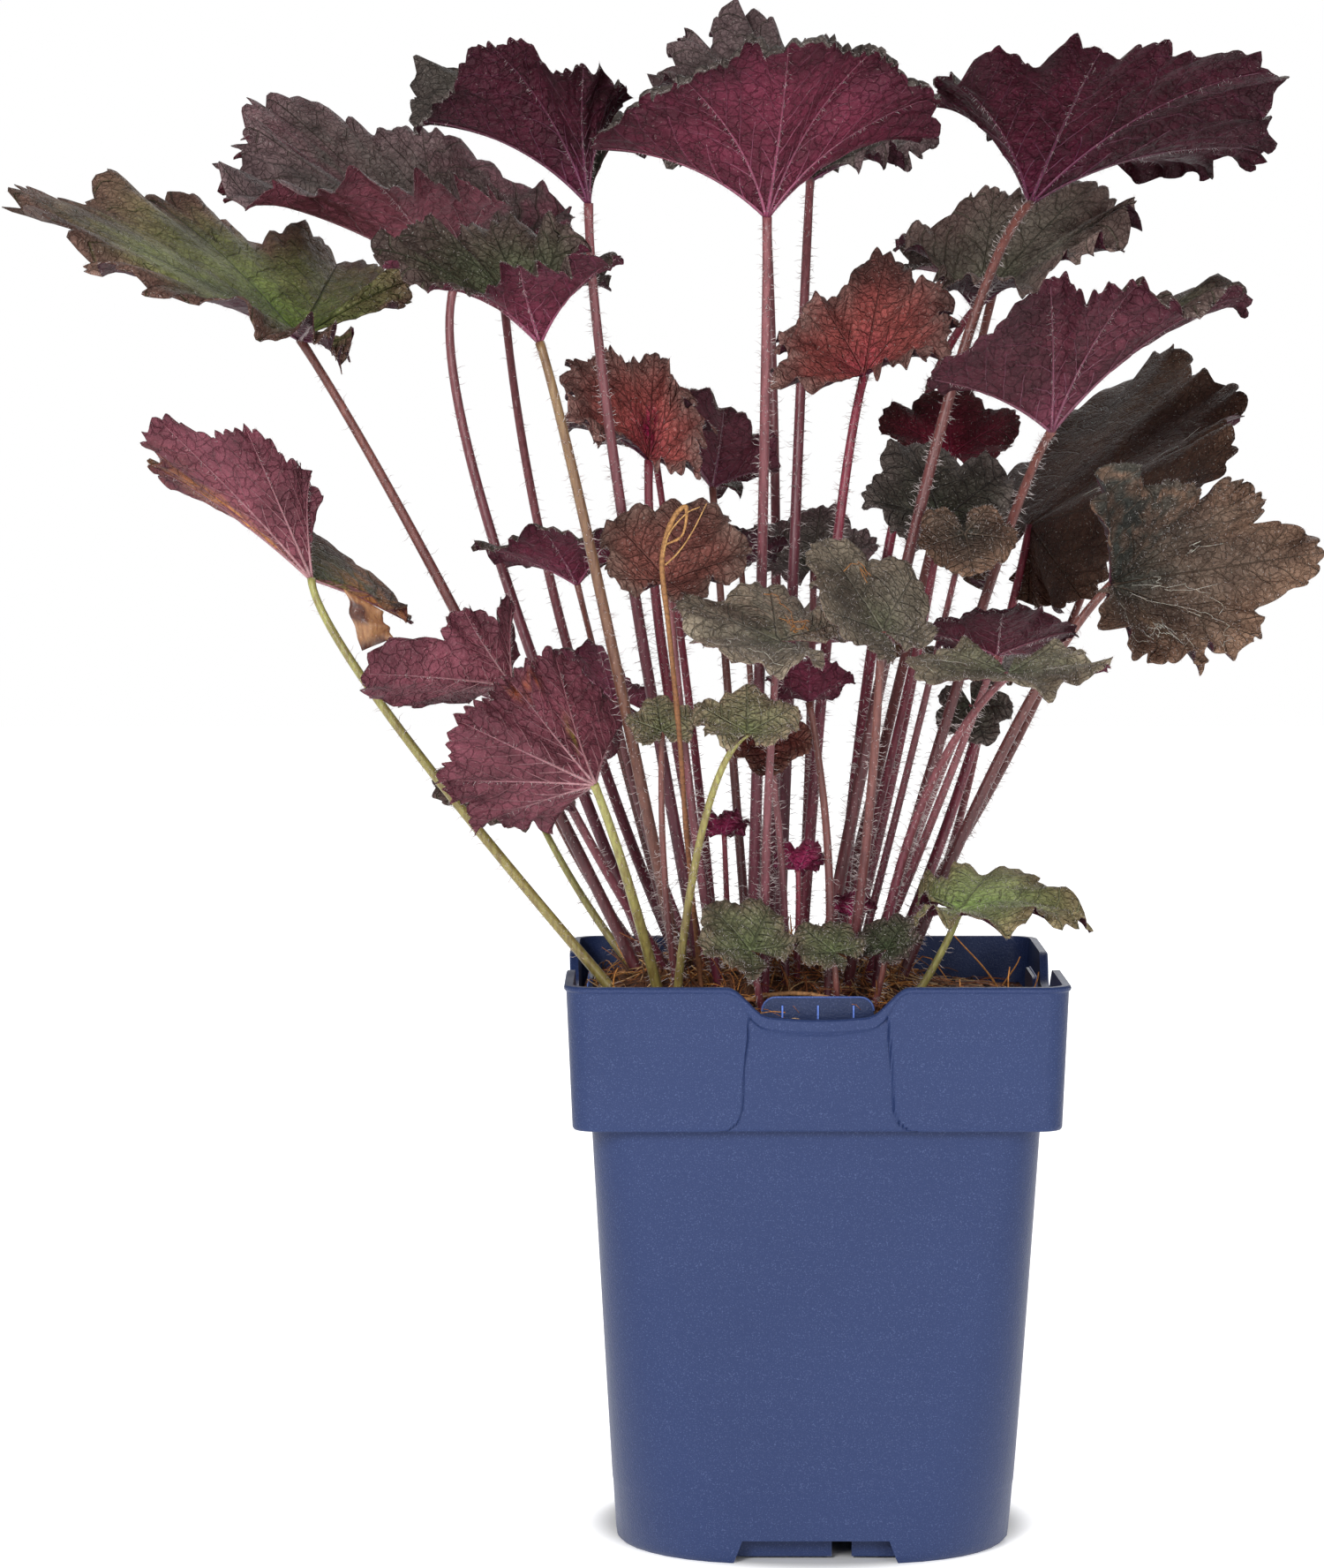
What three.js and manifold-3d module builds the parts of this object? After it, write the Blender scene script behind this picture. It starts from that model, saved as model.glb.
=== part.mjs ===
// Heuchera (coral bells) plant in a square nursery pot.
// Millimetres, +Z up. The origin is the middle of the pot's underside, on the plane it stands on.
// +X is to the right and -Y is the front of the pot.
import * as THREE from "three";
import { mergeVertices } from "three/addons/utils/BufferGeometryUtils.js";
import Module from "manifold-3d";

const wasm = await Module();
wasm.setup();

// ---------------------------------------------------------------- pot sizes
const POT_HEIGHT = 175;
const COLLAR_BASE = 132;
const COLLAR_HALF_LOW = 72.5;
const COLLAR_HALF_TOP = 74.4;
const RIM_LIP = 0.6;
const RIM_LIP_HEIGHT = 1.6;
const COLLAR_WALL = 2.1;
const COLLAR_CORNER = 9;
const BODY_HALF_TOP = 67;
const BODY_HALF_LOW = 60;
const BODY_WALL = 1.6;
const BODY_CORNER_TOP = 14;
const BODY_CORNER_LOW = 42;
const FLOOR_LOW = 8;
const FLOOR_TOP = 9.6;
const PANEL_DEPTH = 0.8;
const PANEL_HALF_TOP = 20;
const PANEL_HALF_LOW = 23;
const DIP_DEPTH = 9;
const DIP_HALF = 20;
const TAB_WIDTH = 32;
const TAB_THICKNESS = 1.2;
const TAB_TOP = 171;
const TAB_LOW = 148;
const TAB_SETBACK = 6;
const NOTCH_HALF = 25;
const NOTCH_HEIGHT = 7;
const SKIRT_HALF = 52;
const PAD_RADIUS = 13;
const DRAIN_RADIUS = 4.5;
const DRAIN_OFFSET = 34;
const FOOT_CHAMFER = 0.8;
const WALL_LEVEL = 40;
const SHOULDER = 1.5;
const LEDGE = 0.01;
const PANEL_CORNER = 6;

// ---------------------------------------------------------------- soil and leaf sizes
const GAP = 0.35;
const SOIL_EDGE = 160;
const MOUND_HEIGHT = 18;
const MOUND_X = -15;
const MOUND_WIDTH = 38;
const SOIL_LUMP = 1.1;
const ROOT_DEPTH = 12;
const BLADE_THICKNESS = 0.8;
const BLADE_SPREAD = THREE.MathUtils.degToRad(165);

// ---------------------------------------------------------------- colours
const COLOURS = {
  pot: 0x38457a,
  soil: 0x33221a,
  straw: 0xa8743a,
  purple: 0x4c2036,
  dark: 0x2e3432,
  green: 0x39452c,
  rust: 0x6a3029,
  brown: 0x3f332b,
  bronze: 0x45433b,
  grey: 0x454b42,
  pink: 0x6a2c42,
  crimson: 0x64142f,
};

// ---------------------------------------------------------------- leaves
// at: where the stalk meets the blade; mid: a point the stalk passes halfway; foot: x, y in the soil.
// az, rise, roll: heading, slope and bank of the midrib in degrees.
// cup, flare: slope of the blade at its middle and at its margin; fold: its halves raised about the midrib.
// ruffle, cut, base: depth of the margin's waves, of its lobes, and how much shorter the basal lobes are.
// lengths, lifts: for each lobe, how long it is for its place, and how many degrees steeper it rises.
const LEAF_DEFAULTS = { lobes: 7, cut: 0.2, base: 0.42, fold: 0, nod: 0, stalk: 1.7, lengths: [], lifts: [] };
const LEAVES = {
  top_centre: { at: [-15, -52, 401], mid: [-16, -33, 298], foot: [-19, -20], az: -95, rise: 3, roll: -11,
    size: 70, cup: 56, flare: 14, ruffle: 0.04, lengths: [0.99, 0.95, 0.9, 0.99, 1.04, 1, 1.52],
    lifts: [-3, -23, 3, 10, 24, 12, -2], tone: "purple" },
  top_left: { at: [-68, -28, 406], mid: [-59, -22, 319], foot: [-32, -14], az: 191, rise: -12, roll: 4,
    size: 62, cup: 64, flare: 19, ruffle: 0.04, lengths: [1.01, 1.04, 1.34, 1.04, 0.97, 1.01, 0.92],
    lifts: [0, 1, 8, -4, 16, 9, 14], tone: "purple" },
  top_right: { at: [66, -4, 407], mid: [37, -24, 335], foot: [1, -16], az: 7, rise: -20, roll: -5, size: 76,
    cup: 52, flare: 13, ruffle: 0.04, stalk: 1.8, lengths: [1.09, 1.2, 1.21, 1.12, 1.16, 1.02, 1],
    lifts: [-9, 5, 7, 1, -4, -1, 0], tone: "purple" },
  top_back: { at: [1, 60, 417], mid: [-3, 32, 343], foot: [-10, 16], az: 122, rise: 4, roll: -4, size: 64,
    cup: 48, flare: 17, ruffle: 0.05, lengths: [0.68, 0.96, 0.93, 1.05, 0.99, 1.33, 1.05],
    lifts: [-17, -19, 20, 19, 16, -2, 0], tone: "dark" },
  left_upper: { at: [-111, 36, 383], mid: [-100, 30, 308], foot: [-44, 12], az: 167, rise: -21, roll: -12,
    size: 74, cup: 42, flare: 20, ruffle: 0.05, lengths: [0.9, 1, 1.47, 1.17, 1.23, 1.22, 0.84],
    lifts: [-28, 22, 18, 27, 12, 9, 3], tone: "dark" },
  left_inner: { at: [-82, -56, 364], mid: [-66, -52, 298], foot: [-38, -22], az: 185, rise: -24, roll: -13,
    size: 52, cup: 55, flare: 22, ruffle: 0.05, lengths: [1.08, 1.05, 1.01, 1.14, 0.72, 0.92, 1.21],
    lifts: [3, 5, 21, 14, 11, 9, -11], tone: "green" },
  left_far: { at: [-157, 4, 366], mid: [-113, 3, 289], foot: [-48, 0], az: 185, rise: 19, roll: -24,
    size: 96, cup: 14, flare: 2, base: 0.5, ruffle: 0.04,
    lengths: [0.72, 0.85, 0.95, 1.04, 0.9, 0.45, 0.35], lifts: [26, -2, -6, 0, 10, 20, 10], tone: "green" },
  left_fold: { at: [-153, -8, 293], mid: [-127, -16, 249], foot: [-51, -26], az: 180, rise: -25, roll: 20,
    size: 56, cup: 68, flare: 52, base: 0.5, ruffle: 0.03, stalk: 1.5,
    lengths: [0.95, 0.7, 0.95, 1.15, 1.22, 1.15, 1], lifts: [-98, 0, 0, 0, 0, 0, 0], tone: "pink" },
  left_star: { at: [-91, -40, 262], mid: [-66, -21, 210], foot: [-37, -12], az: 225, rise: -8, roll: 65,
    size: 42, cup: 35, flare: 21, ruffle: 0.03, lobes: 5, cut: 0.32, stalk: 1.5,
    lengths: [1.02, 1.12, 1.06, 0.75, 0.92], lifts: [17, 28, 3, 17, 15], tone: "purple" },
  left_small: { at: [-61, 0, 256], mid: [-49, 1, 209], foot: [-31, -1], az: 165, rise: 31, roll: 36,
    size: 24, cup: 10, flare: 2, ruffle: 0.06, lobes: 5, cut: 0.28, stalk: 1.3, tone: "purple" },
  left_low: { at: [-66, -62, 234], mid: [-56, -48, 203], foot: [-44, -33], az: 233, rise: 14, roll: 69,
    size: 50, cup: 36, flare: 24, base: 0.45, ruffle: 0.03, stalk: 1.6,
    lengths: [1.1, 1, 0.98, 0.88, 0.84, 1.2, 1.09], lifts: [11, 20, 24, 18, 24, 22, 4], tone: "pink" },
  left_dark: { at: [-88, 44, 222], mid: [-70, 32, 190], foot: [-46, 18], az: 182, rise: 0, roll: -24,
    size: 30, cup: 14, flare: 5, ruffle: 0.06, lobes: 5, stalk: 1.3, tone: "dark" },
  mid_rust: { at: [-50, 6, 329], mid: [-45, 5, 264], foot: [-26, 7], az: 82, rise: 25, roll: 0, size: 36,
    cup: 41, flare: 23, ruffle: 0.06, lengths: [1.09, 0.81, 0.72, 0.96, 1.1, 1.4, 1.52],
    lifts: [-16, 2, 20, 11, 28, 23, 9], tone: "rust" },
  mid_purple: { at: [-30, 49, 320], mid: [-24, 40, 240], foot: [-18, 26], az: -165, rise: 24, roll: 19,
    size: 42, cup: 40, flare: 16, base: 0.7, ruffle: 0.08, lobes: 5, stalk: 1.4, tone: "purple" },
  mid_red: { at: [16, 2, 355], mid: [6, -8, 291], foot: [-4, -2], az: 79, rise: 27, roll: 8, size: 38,
    cup: 34, flare: 16, ruffle: 0.06, lengths: [1.37, 1.08, 1.01, 1.14, 0.86, 0.94, 1.43],
    lifts: [9, 12, 16, 6, 5, -5, -12], tone: "rust" },
  mid_wing: { at: [-72, 1, 291], mid: [-56, 26, 226], foot: [-38, 9], az: 185, rise: -6, roll: 14, size: 34,
    cup: 38, flare: 16, ruffle: 0.06, lobes: 5, stalk: 1.2, tone: "purple" },
  mid_brown: { at: [-44, -40, 293], mid: [-37, -37, 225], foot: [-27, -31], az: 60, rise: 37, roll: 16,
    size: 31, cup: 28, flare: 12, base: 0.66, ruffle: 0.06, lobes: 5, stalk: 1.4, tone: "brown" },
  mid_tiny: { at: [-22, -14, 297], mid: [-17, -9, 231], foot: [-15, -6], az: -80, rise: 25, roll: -4,
    size: 18, cup: 34, flare: 15, ruffle: 0.08, lobes: 5, stalk: 1.1, tone: "purple" },
  front_grey: { at: [-12, -70, 276.5], mid: [-15, -54, 215], foot: [-15, -44], az: 165, rise: 13, roll: -21,
    size: 30, cup: 12, flare: 4, ruffle: 0.09, lobes: 5, stalk: 1.4, tone: "grey" },
  mid_grey: { at: [19, -56, 279], mid: [15, -46, 215], foot: [8, -34], az: 158, rise: 49, roll: -19,
    size: 32, cup: 8, flare: 2, fold: 8, base: 0.7, ruffle: 0.05, lobes: 5, stalk: 1.6, tone: "grey" },
  front_green: { at: [-21, -78, 250], mid: [-34, -64, 221], foot: [-43, -48], az: 90, rise: 28, roll: 0,
    size: 19, cup: 22, flare: 8, ruffle: 0.08, lobes: 5, stalk: 1.2, tone: "green" },
  front_tiny: { at: [-46, -52, 249], mid: [-45, -46, 202], foot: [-39, -40], az: 100, rise: 40, roll: -6,
    size: 13, cup: 14, flare: 5, ruffle: 0.08, lobes: 5, stalk: 1.1, tone: "green" },
  mid_under: { at: [-2, -38, 257], mid: [4, -40, 208], foot: [3, -41], az: -90, rise: 25, roll: 0, size: 18,
    cup: 34, flare: 16, base: 0.5, ruffle: 0.07, lobes: 5, stalk: 1.3, tone: "purple" },
  right_upper: { at: [70, -42, 338], mid: [52, -8, 285], foot: [15, -10], az: -13, rise: -8, roll: 4,
    size: 62, cup: 56, flare: 26, ruffle: 0.04, lengths: [1.17, 1.03, 0.99, 1.12, 1.31, 1.04, 1.01],
    lifts: [-24, 15, 13, 3, -2, 0, 0], tone: "purple" },
  right_brown: { at: [70.5, 48, 308], mid: [49, 34, 230], foot: [20, 22], az: -15, rise: 53, roll: 35,
    size: 68, cup: -8, flare: -10, base: 0.6, ruffle: 0.03,
    lengths: [0.75, 0.95, 1.22, 1.24, 1.45, 1.07, 1.01], lifts: [-12, 2, 1, -14, -11, -1, 0],
    tone: "brown" },
  right_low: { at: [91.5, -4, 291], mid: [62, -1, 246], foot: [23, -5], az: 45, rise: -4, roll: 75,
    size: 60, cup: 34, flare: 27, base: 0.5, ruffle: 0.04,
    lengths: [1.23, 0.8, 0.86, 1.01, 0.94, 0.97, 1.38], lifts: [2, 10, 13, 18, 28, 27, 6], tone: "bronze" },
  right_green: { at: [53, 54, 376], mid: [28, 70, 307], foot: [8, 16], az: 9, rise: -16, roll: 22, size: 56,
    cup: 47, flare: 19, ruffle: 0.05, lengths: [0.66, 0.99, 1.07, 1.04, 1.19, 0.84, 0.9],
    lifts: [-7, -2, 14, 18, 10, 15, -14], tone: "green" },
  mid_crimson: { at: [45, 42, 330], mid: [29, 32, 241], foot: [9, 23], az: 90, rise: 30, roll: 0, size: 27,
    cup: 28, flare: 12, ruffle: 0.06, lobes: 5, stalk: 1.4, tone: "crimson" },
  mid_dark: { at: [40, 0, 310], mid: [24, 3, 235], foot: [5, 6], az: 112, rise: 34, roll: -10, size: 30,
    cup: 22, flare: 8, ruffle: 0.08, lobes: 5, stalk: 1.4, tone: "dark" },
  back_dark: { at: [2, 48, 295], mid: [0, 34, 229], foot: [-3, 20], az: 82, rise: 35, roll: 5, size: 26,
    cup: 18, flare: 8, ruffle: 0.08, lobes: 5, stalk: 1.4, tone: "dark" },
  right_tiny: { at: [45, -30, 307], mid: [29, -5, 233], foot: [11, -5], az: -80, rise: -50, roll: 8,
    size: 18, cup: 14, flare: 5, ruffle: 0.08, lobes: 5, stalk: 1.2, tone: "bronze" },
  right_wing: { at: [55, -76, 267], mid: [30, -43, 222], foot: [17, -35], az: -88, rise: -12, roll: 0,
    size: 34, cup: 14, flare: 5, ruffle: 0.08, lobes: 5, stalk: 1.5, tone: "grey" },
  right_plum: { at: [54.5, -35, 271], mid: [34, -26, 216], foot: [12, -17], az: -90, rise: 18, roll: 0,
    size: 31, cup: 18, flare: 8, base: 0.6, ruffle: 0.05, lobes: 5, stalk: 1.4, tone: "purple" },
  right_drop: { at: [50, 16, 253], mid: [32, 12, 209], foot: [16, 7], az: -60, rise: -56, roll: 26,
    size: 15, cup: 12, flare: 5, ruffle: 0.06, lobes: 5, cut: 0.3, stalk: 1.1, tone: "dark" },
  rim_grey: { at: [-20, -66, 185], mid: [-17, -61, 170], foot: [-14, -54], az: 150, rise: 33, roll: -24,
    size: 20, cup: 20, flare: 8, base: 0.5, ruffle: 0.06, lobes: 5, stalk: 1.2, tone: "grey" },
  rim_small: { at: [5, -61, 184], mid: [6, -58, 169], foot: [7, -53], az: 150, rise: 24, roll: -26,
    size: 13, cup: 14, flare: 5, ruffle: 0.07, lobes: 5, stalk: 1.1, tone: "green" },
  rim_right: { at: [21, -54, 184], mid: [18, -51, 169], foot: [14, -48], az: 40, rise: 38, roll: 13,
    size: 13, cup: 18, flare: 5, ruffle: 0.08, lobes: 5, stalk: 1.1, tone: "green" },
  rim_wing: { at: [43, -48, 195], mid: [33, -45, 174], foot: [19, -42], az: -3, rise: 4, roll: 12, size: 39,
    cup: 16, flare: 8, nod: 0.3, base: 0.7, ruffle: 0.07, lobes: 5, stalk: 1.3, tone: "green" },
  mid_copper: { at: [-15, -46, 249], mid: [-10, -39, 207], foot: [-9, -36], az: -85, rise: -60, roll: 4,
    size: 16, cup: 12, flare: 5, ruffle: 0.08, lobes: 5, stalk: 1.2, tone: "rust" },
  young_a: { at: [-27, -14, 215], mid: [-26, -11, 190], foot: [-25, -8], az: -70, rise: 33, roll: -11,
    size: 10, cup: 34, flare: 15, ruffle: 0.14, lobes: 5, stalk: 1, tone: "pink" },
  young_b: { at: [-5, -34, 206], mid: [-5, -32, 184], foot: [-6, -30], az: -60, rise: 31, roll: -17,
    size: 11, cup: 34, flare: 15, ruffle: 0.14, lobes: 5, stalk: 1, tone: "pink" },
  young_c: { at: [11, -30, 192], mid: [11, -29, 176], foot: [10, -28], az: -50, rise: 28, roll: -22,
    size: 9, cup: 34, flare: 15, ruffle: 0.14, lobes: 5, stalk: 1, tone: "pink" },
  rear_top: { at: [-12, 112, 416], mid: [-9, 88, 285], foot: [-13, 34], az: 95, rise: 10, roll: 0, size: 58,
    cup: 36, flare: 12, ruffle: 0.08, tone: "purple" },
  rear_right: { at: [64, 132, 384], mid: [34, 84, 270], foot: [5, 32], az: 52, rise: 14, roll: 2, size: 46,
    cup: 36, flare: 12, ruffle: 0.08, tone: "purple" },
  rear_left: { at: [-98, 126, 378], mid: [-76, 80, 266], foot: [-35, 28], az: 128, rise: 14, roll: -2,
    size: 52, cup: 36, flare: 12, ruffle: 0.08, tone: "dark" },
  rear_mid: { at: [-48, 106, 328], mid: [-36, 74, 240], foot: [-28, 34], az: 112, rise: 6, roll: 0,
    size: 38, cup: 30, flare: 10, ruffle: 0.08, lobes: 5, stalk: 1.4, tone: "rust" },
  rear_brown: { at: [105, 95, 326], mid: [66, 62, 236], foot: [12, 38], az: 40, rise: 10, roll: 0, size: 46,
    cup: 30, flare: 10, base: 0.6, ruffle: 0.07, lobes: 5, stalk: 1.5, tone: "brown" },
  rear_low_right: { at: [60, 88, 256], mid: [44, 62, 196], foot: [21, 29], az: 80, rise: 4, roll: 0,
    size: 38, cup: 24, flare: 6, base: 0.55, ruffle: 0.08, lobes: 5, stalk: 1.4, tone: "bronze" },
  rear_low: { at: [-6, 112, 264], mid: [-10, 82, 214], foot: [-7, 40], az: 88, rise: 4, roll: 0, size: 42,
    cup: 24, flare: 6, ruffle: 0.08, lobes: 5, stalk: 1.4, tone: "grey" },
  rear_low_left: { at: [-96, 90, 248], mid: [-70, 58, 196], foot: [-40, 26], az: 160, rise: 4, roll: 0,
    size: 42, cup: 24, flare: 6, ruffle: 0.07, lobes: 5, stalk: 1.4, tone: "purple" },
};

// ---------------------------------------------------------------- solids
function toSolid(positions, triangles) {
  const mesh = new wasm.Mesh({
    numProp: 3,
    vertProperties: Float32Array.from(positions),
    triVerts: Uint32Array.from(triangles),
  });
  return new wasm.Manifold(mesh);
}

function solidFromGeometry(geometry) {
  const bare = geometry.clone();
  bare.deleteAttribute("normal");
  bare.deleteAttribute("uv");
  const merged = mergeVertices(bare, 1e-4);
  return toSolid(merged.attributes.position.array, merged.index.array);
}

function geometryFromSolid(solid) {
  const mesh = solid.getMesh();
  const points = new Float32Array((mesh.vertProperties.length / mesh.numProp) * 3);
  for (let i = 0; i < points.length / 3; i++) {
    for (let k = 0; k < 3; k++) points[3 * i + k] = mesh.vertProperties[mesh.numProp * i + k];
  }
  const geometry = new THREE.BufferGeometry();
  geometry.setAttribute("position", new THREE.BufferAttribute(points, 3));
  geometry.setIndex(new THREE.BufferAttribute(Uint32Array.from(mesh.triVerts), 1));
  geometry.computeVertexNormals();
  return geometry;
}

// A closed solid through a stack of rings that all have the same number of points,
// listed anticlockwise as seen against the direction in which the stack grows.
function loft(rings) {
  const count = rings[0].length;
  const positions = rings.flat().flatMap((p) => [p.x, p.y, p.z]);
  const triangles = [];
  for (let j = 0; j < rings.length - 1; j++) {
    for (let i = 0; i < count; i++) {
      const a = j * count + i;
      const b = j * count + ((i + 1) % count);
      triangles.push(a, b, b + count, a, b + count, a + count);
    }
  }
  const last = (rings.length - 1) * count;
  for (let i = 1; i < count - 1; i++) {
    triangles.push(0, i + 1, i);
    triangles.push(last, last + i, last + i + 1);
  }
  return toSolid(positions, triangles);
}

function box(width, depth, height, x, y, z) {
  const geometry = new THREE.BoxGeometry(width, depth, height);
  geometry.translate(x, y, z + height / 2);
  return solidFromGeometry(geometry);
}

function prism(points, depth, yStart) {
  const shape = new THREE.Shape(points.map(([x, z]) => new THREE.Vector2(x, z)));
  const geometry = new THREE.ExtrudeGeometry(shape, { depth, bevelEnabled: false });
  geometry.rotateX(Math.PI / 2);
  geometry.translate(0, yStart + depth, 0);
  return solidFromGeometry(geometry);
}

function cylinder(radius, height, x, y, z, sides) {
  const geometry = new THREE.CylinderGeometry(radius, radius, height, sides);
  geometry.rotateX(Math.PI / 2);
  geometry.translate(x, y, z + height / 2);
  return solidFromGeometry(geometry);
}

function onFourSides(solid) {
  return [0, 90, 180, 270].map((angle) => solid.rotate([0, 0, angle]));
}

// ---------------------------------------------------------------- pot
function roundedSquare(half, corner, z, steps = 4) {
  const ring = [];
  for (let side = 0; side < 4; side++) {
    const turn = (side * Math.PI) / 2;
    const centre = new THREE.Vector2(half - corner, half - corner).rotateAround(new THREE.Vector2(), turn);
    for (let i = 0; i <= steps; i++) {
      const angle = turn + (i / steps) * (Math.PI / 2);
      const x = centre.x + corner * Math.cos(angle);
      const y = centre.y + corner * Math.sin(angle);
      ring.push(new THREE.Vector3(x, y, z));
    }
  }
  return ring;
}

// Body half width and corner radius at height z.
function bodyRing(z, inset) {
  const t = z / COLLAR_BASE;
  const half = BODY_HALF_LOW + (BODY_HALF_TOP - BODY_HALF_LOW) * t;
  const corner = BODY_CORNER_LOW + (BODY_CORNER_TOP - BODY_CORNER_LOW) * Math.sqrt(t);
  return roundedSquare(half - inset, corner - inset, z);
}

function collarRing(z, outset) {
  const t = (z - COLLAR_BASE) / (POT_HEIGHT - COLLAR_BASE);
  const half = COLLAR_HALF_LOW + (COLLAR_HALF_TOP - COLLAR_HALF_LOW) * t;
  return roundedSquare(half + outset, COLLAR_CORNER + outset, z);
}

function atHeight(ring, z) {
  return ring.map((p) => new THREE.Vector3(p.x, p.y, z));
}

function potOutside() {
  const bodyLevels = [0, FLOOR_LOW - 2, WALL_LEVEL, COLLAR_BASE - LEDGE];
  const body = bodyLevels.map((z) => bodyRing(z, z === 0 ? FOOT_CHAMFER : 0));
  const lipLow = POT_HEIGHT - RIM_LIP_HEIGHT;
  const collar = [
    collarRing(COLLAR_BASE, 0),
    collarRing(lipLow - LEDGE, 0),
    collarRing(lipLow, RIM_LIP),
    collarRing(POT_HEIGHT, RIM_LIP),
  ];
  return loft([...body, ...collar]);
}

function potInside(inset, floor) {
  const levels = [floor, WALL_LEVEL, COLLAR_BASE + SHOULDER];
  const body = levels.map((z) => atHeight(bodyRing(Math.min(z, COLLAR_BASE), BODY_WALL + inset), z));
  const ledge = collarRing(COLLAR_BASE + SHOULDER + LEDGE, -COLLAR_WALL - inset);
  return [...body, ledge, collarRing(POT_HEIGHT + 1, -COLLAR_WALL - inset)];
}

// The dip in the rim above the recess, with an S-curve at each end.
function rimDip() {
  const points = [[-DIP_HALF - 6, POT_HEIGHT + 2]];
  const steps = 3;
  for (let i = 0; i <= steps; i++) {
    const s = i / steps;
    points.push([-DIP_HALF - 6 + 12 * s, POT_HEIGHT + LEDGE - DIP_DEPTH * s * s * (3 - 2 * s)]);
  }
  for (let i = steps; i >= 0; i--) {
    const s = i / steps;
    points.push([DIP_HALF + 6 - 12 * s, POT_HEIGHT + LEDGE - DIP_DEPTH * s * s * (3 - 2 * s)]);
  }
  points.push([DIP_HALF + 6, POT_HEIGHT + 2]);
  return prism(points.reverse(), 14, -COLLAR_HALF_TOP - 6);
}

// The sunk middle of a collar side, between two flaps whose lower corners are rounded.
function panelRecess() {
  const right = [
    [PANEL_HALF_LOW + PANEL_CORNER, COLLAR_BASE - 2],
    [PANEL_HALF_LOW + 1.4, COLLAR_BASE + 1.8],
    [PANEL_HALF_LOW - 0.6, COLLAR_BASE + PANEL_CORNER],
    [PANEL_HALF_TOP, POT_HEIGHT + 2],
  ];
  const left = right.map(([x, z]) => [-x, z]).reverse();
  const points = [...left, ...right];
  const lean = Math.atan((COLLAR_HALF_TOP - COLLAR_HALF_LOW) / (POT_HEIGHT - COLLAR_BASE));
  const depth = 8;
  const recess = prism(points, depth, -COLLAR_HALF_LOW + PANEL_DEPTH - depth);
  const pivot = recess.translate([0, COLLAR_HALF_LOW, -COLLAR_BASE]);
  return pivot.rotate([THREE.MathUtils.radToDeg(lean), 0, 0]).translate([0, -COLLAR_HALF_LOW, COLLAR_BASE]);
}

function labelTab() {
  const y = -COLLAR_HALF_TOP + COLLAR_WALL + TAB_SETBACK - 1.5;
  const plate = box(TAB_WIDTH, TAB_THICKNESS, TAB_TOP - TAB_LOW, 0, y, TAB_LOW);
  const ledge = box(TAB_WIDTH, TAB_SETBACK + 0.6, 1.4, 0, y - TAB_SETBACK / 2, TAB_LOW);
  return plate.add(ledge);
}

function buildPot() {
  let pot = potOutside().subtract(loft(potInside(0, FLOOR_TOP)));
  const underside = loft([bodyRing(0, 2.4).map((p) => p.clone().setZ(-1)), bodyRing(FLOOR_LOW, 1.7)]);
  pot = pot.subtract(underside);
  const notch = prism([[NOTCH_HALF - 3, NOTCH_HEIGHT], [-NOTCH_HALF + 3, NOTCH_HEIGHT], [-NOTCH_HALF, -1],
    [NOTCH_HALF, -1]], 10, -BODY_HALF_LOW - 5);
  for (const cut of [...onFourSides(notch), ...onFourSides(rimDip()), ...onFourSides(panelRecess())]) {
    pot = pot.subtract(cut);
  }
  const skirtLeft = box(29, 1.6, FLOOR_LOW - 0.3, -9.5, -SKIRT_HALF, 0.8);
  const skirtRight = box(14, 1.6, FLOOR_LOW - 0.3, 18, -SKIRT_HALF, 0.8);
  for (const piece of [...onFourSides(skirtLeft), ...onFourSides(skirtRight), ...onFourSides(labelTab())]) {
    pot = pot.add(piece);
  }
  pot = pot.add(cylinder(PAD_RADIUS, FLOOR_LOW + 0.5, 0, 0, 0, 20));
  for (const hole of onFourSides(cylinder(DRAIN_RADIUS, 6, DRAIN_OFFSET, 0, FLOOR_LOW - 2, 14))) {
    pot = pot.subtract(hole);
  }
  return pot;
}

// ---------------------------------------------------------------- soil
function soilHeight(x, y) {
  const reach = ((x - MOUND_X) ** 2 + y ** 2) / (2 * MOUND_WIDTH ** 2);
  return SOIL_EDGE + MOUND_HEIGHT * Math.exp(-reach);
}

function soilRing(scale, index) {
  const edge = collarRing(SOIL_EDGE, -COLLAR_WALL - GAP);
  return edge.map((p, i) => {
    const x = p.x * scale;
    const y = p.y * scale;
    const lump = SOIL_LUMP * Math.sin(i * 2.3 + index * 1.7) * Math.cos(i * 1.1 - index * 2.9);
    return new THREE.Vector3(x, y, soilHeight(x, y) + lump);
  });
}

function buildSoil(holes) {
  const rings = potInside(GAP, FLOOR_TOP + GAP).slice(0, -1).map((ring) => ring.map((p) => p.clone()));
  rings[2] = atHeight(rings[2], COLLAR_BASE + SHOULDER + GAP);
  rings[3] = atHeight(rings[3], COLLAR_BASE + SHOULDER + LEDGE + GAP);
  [1, 0.82, 0.62, 0.42, 0.22, 0.04].forEach((scale, index) => rings.push(soilRing(scale, index)));
  let soil = loft(rings);
  const tabRoom = box(TAB_WIDTH + 2 * GAP, TAB_SETBACK + 1.2 + 2 * GAP, TAB_TOP, 0,
    -COLLAR_HALF_TOP + COLLAR_WALL + 2.5, TAB_LOW - GAP);
  for (const cut of [...onFourSides(tabRoom), ...holes]) {
    soil = soil.subtract(cut);
  }
  return soil;
}

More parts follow.
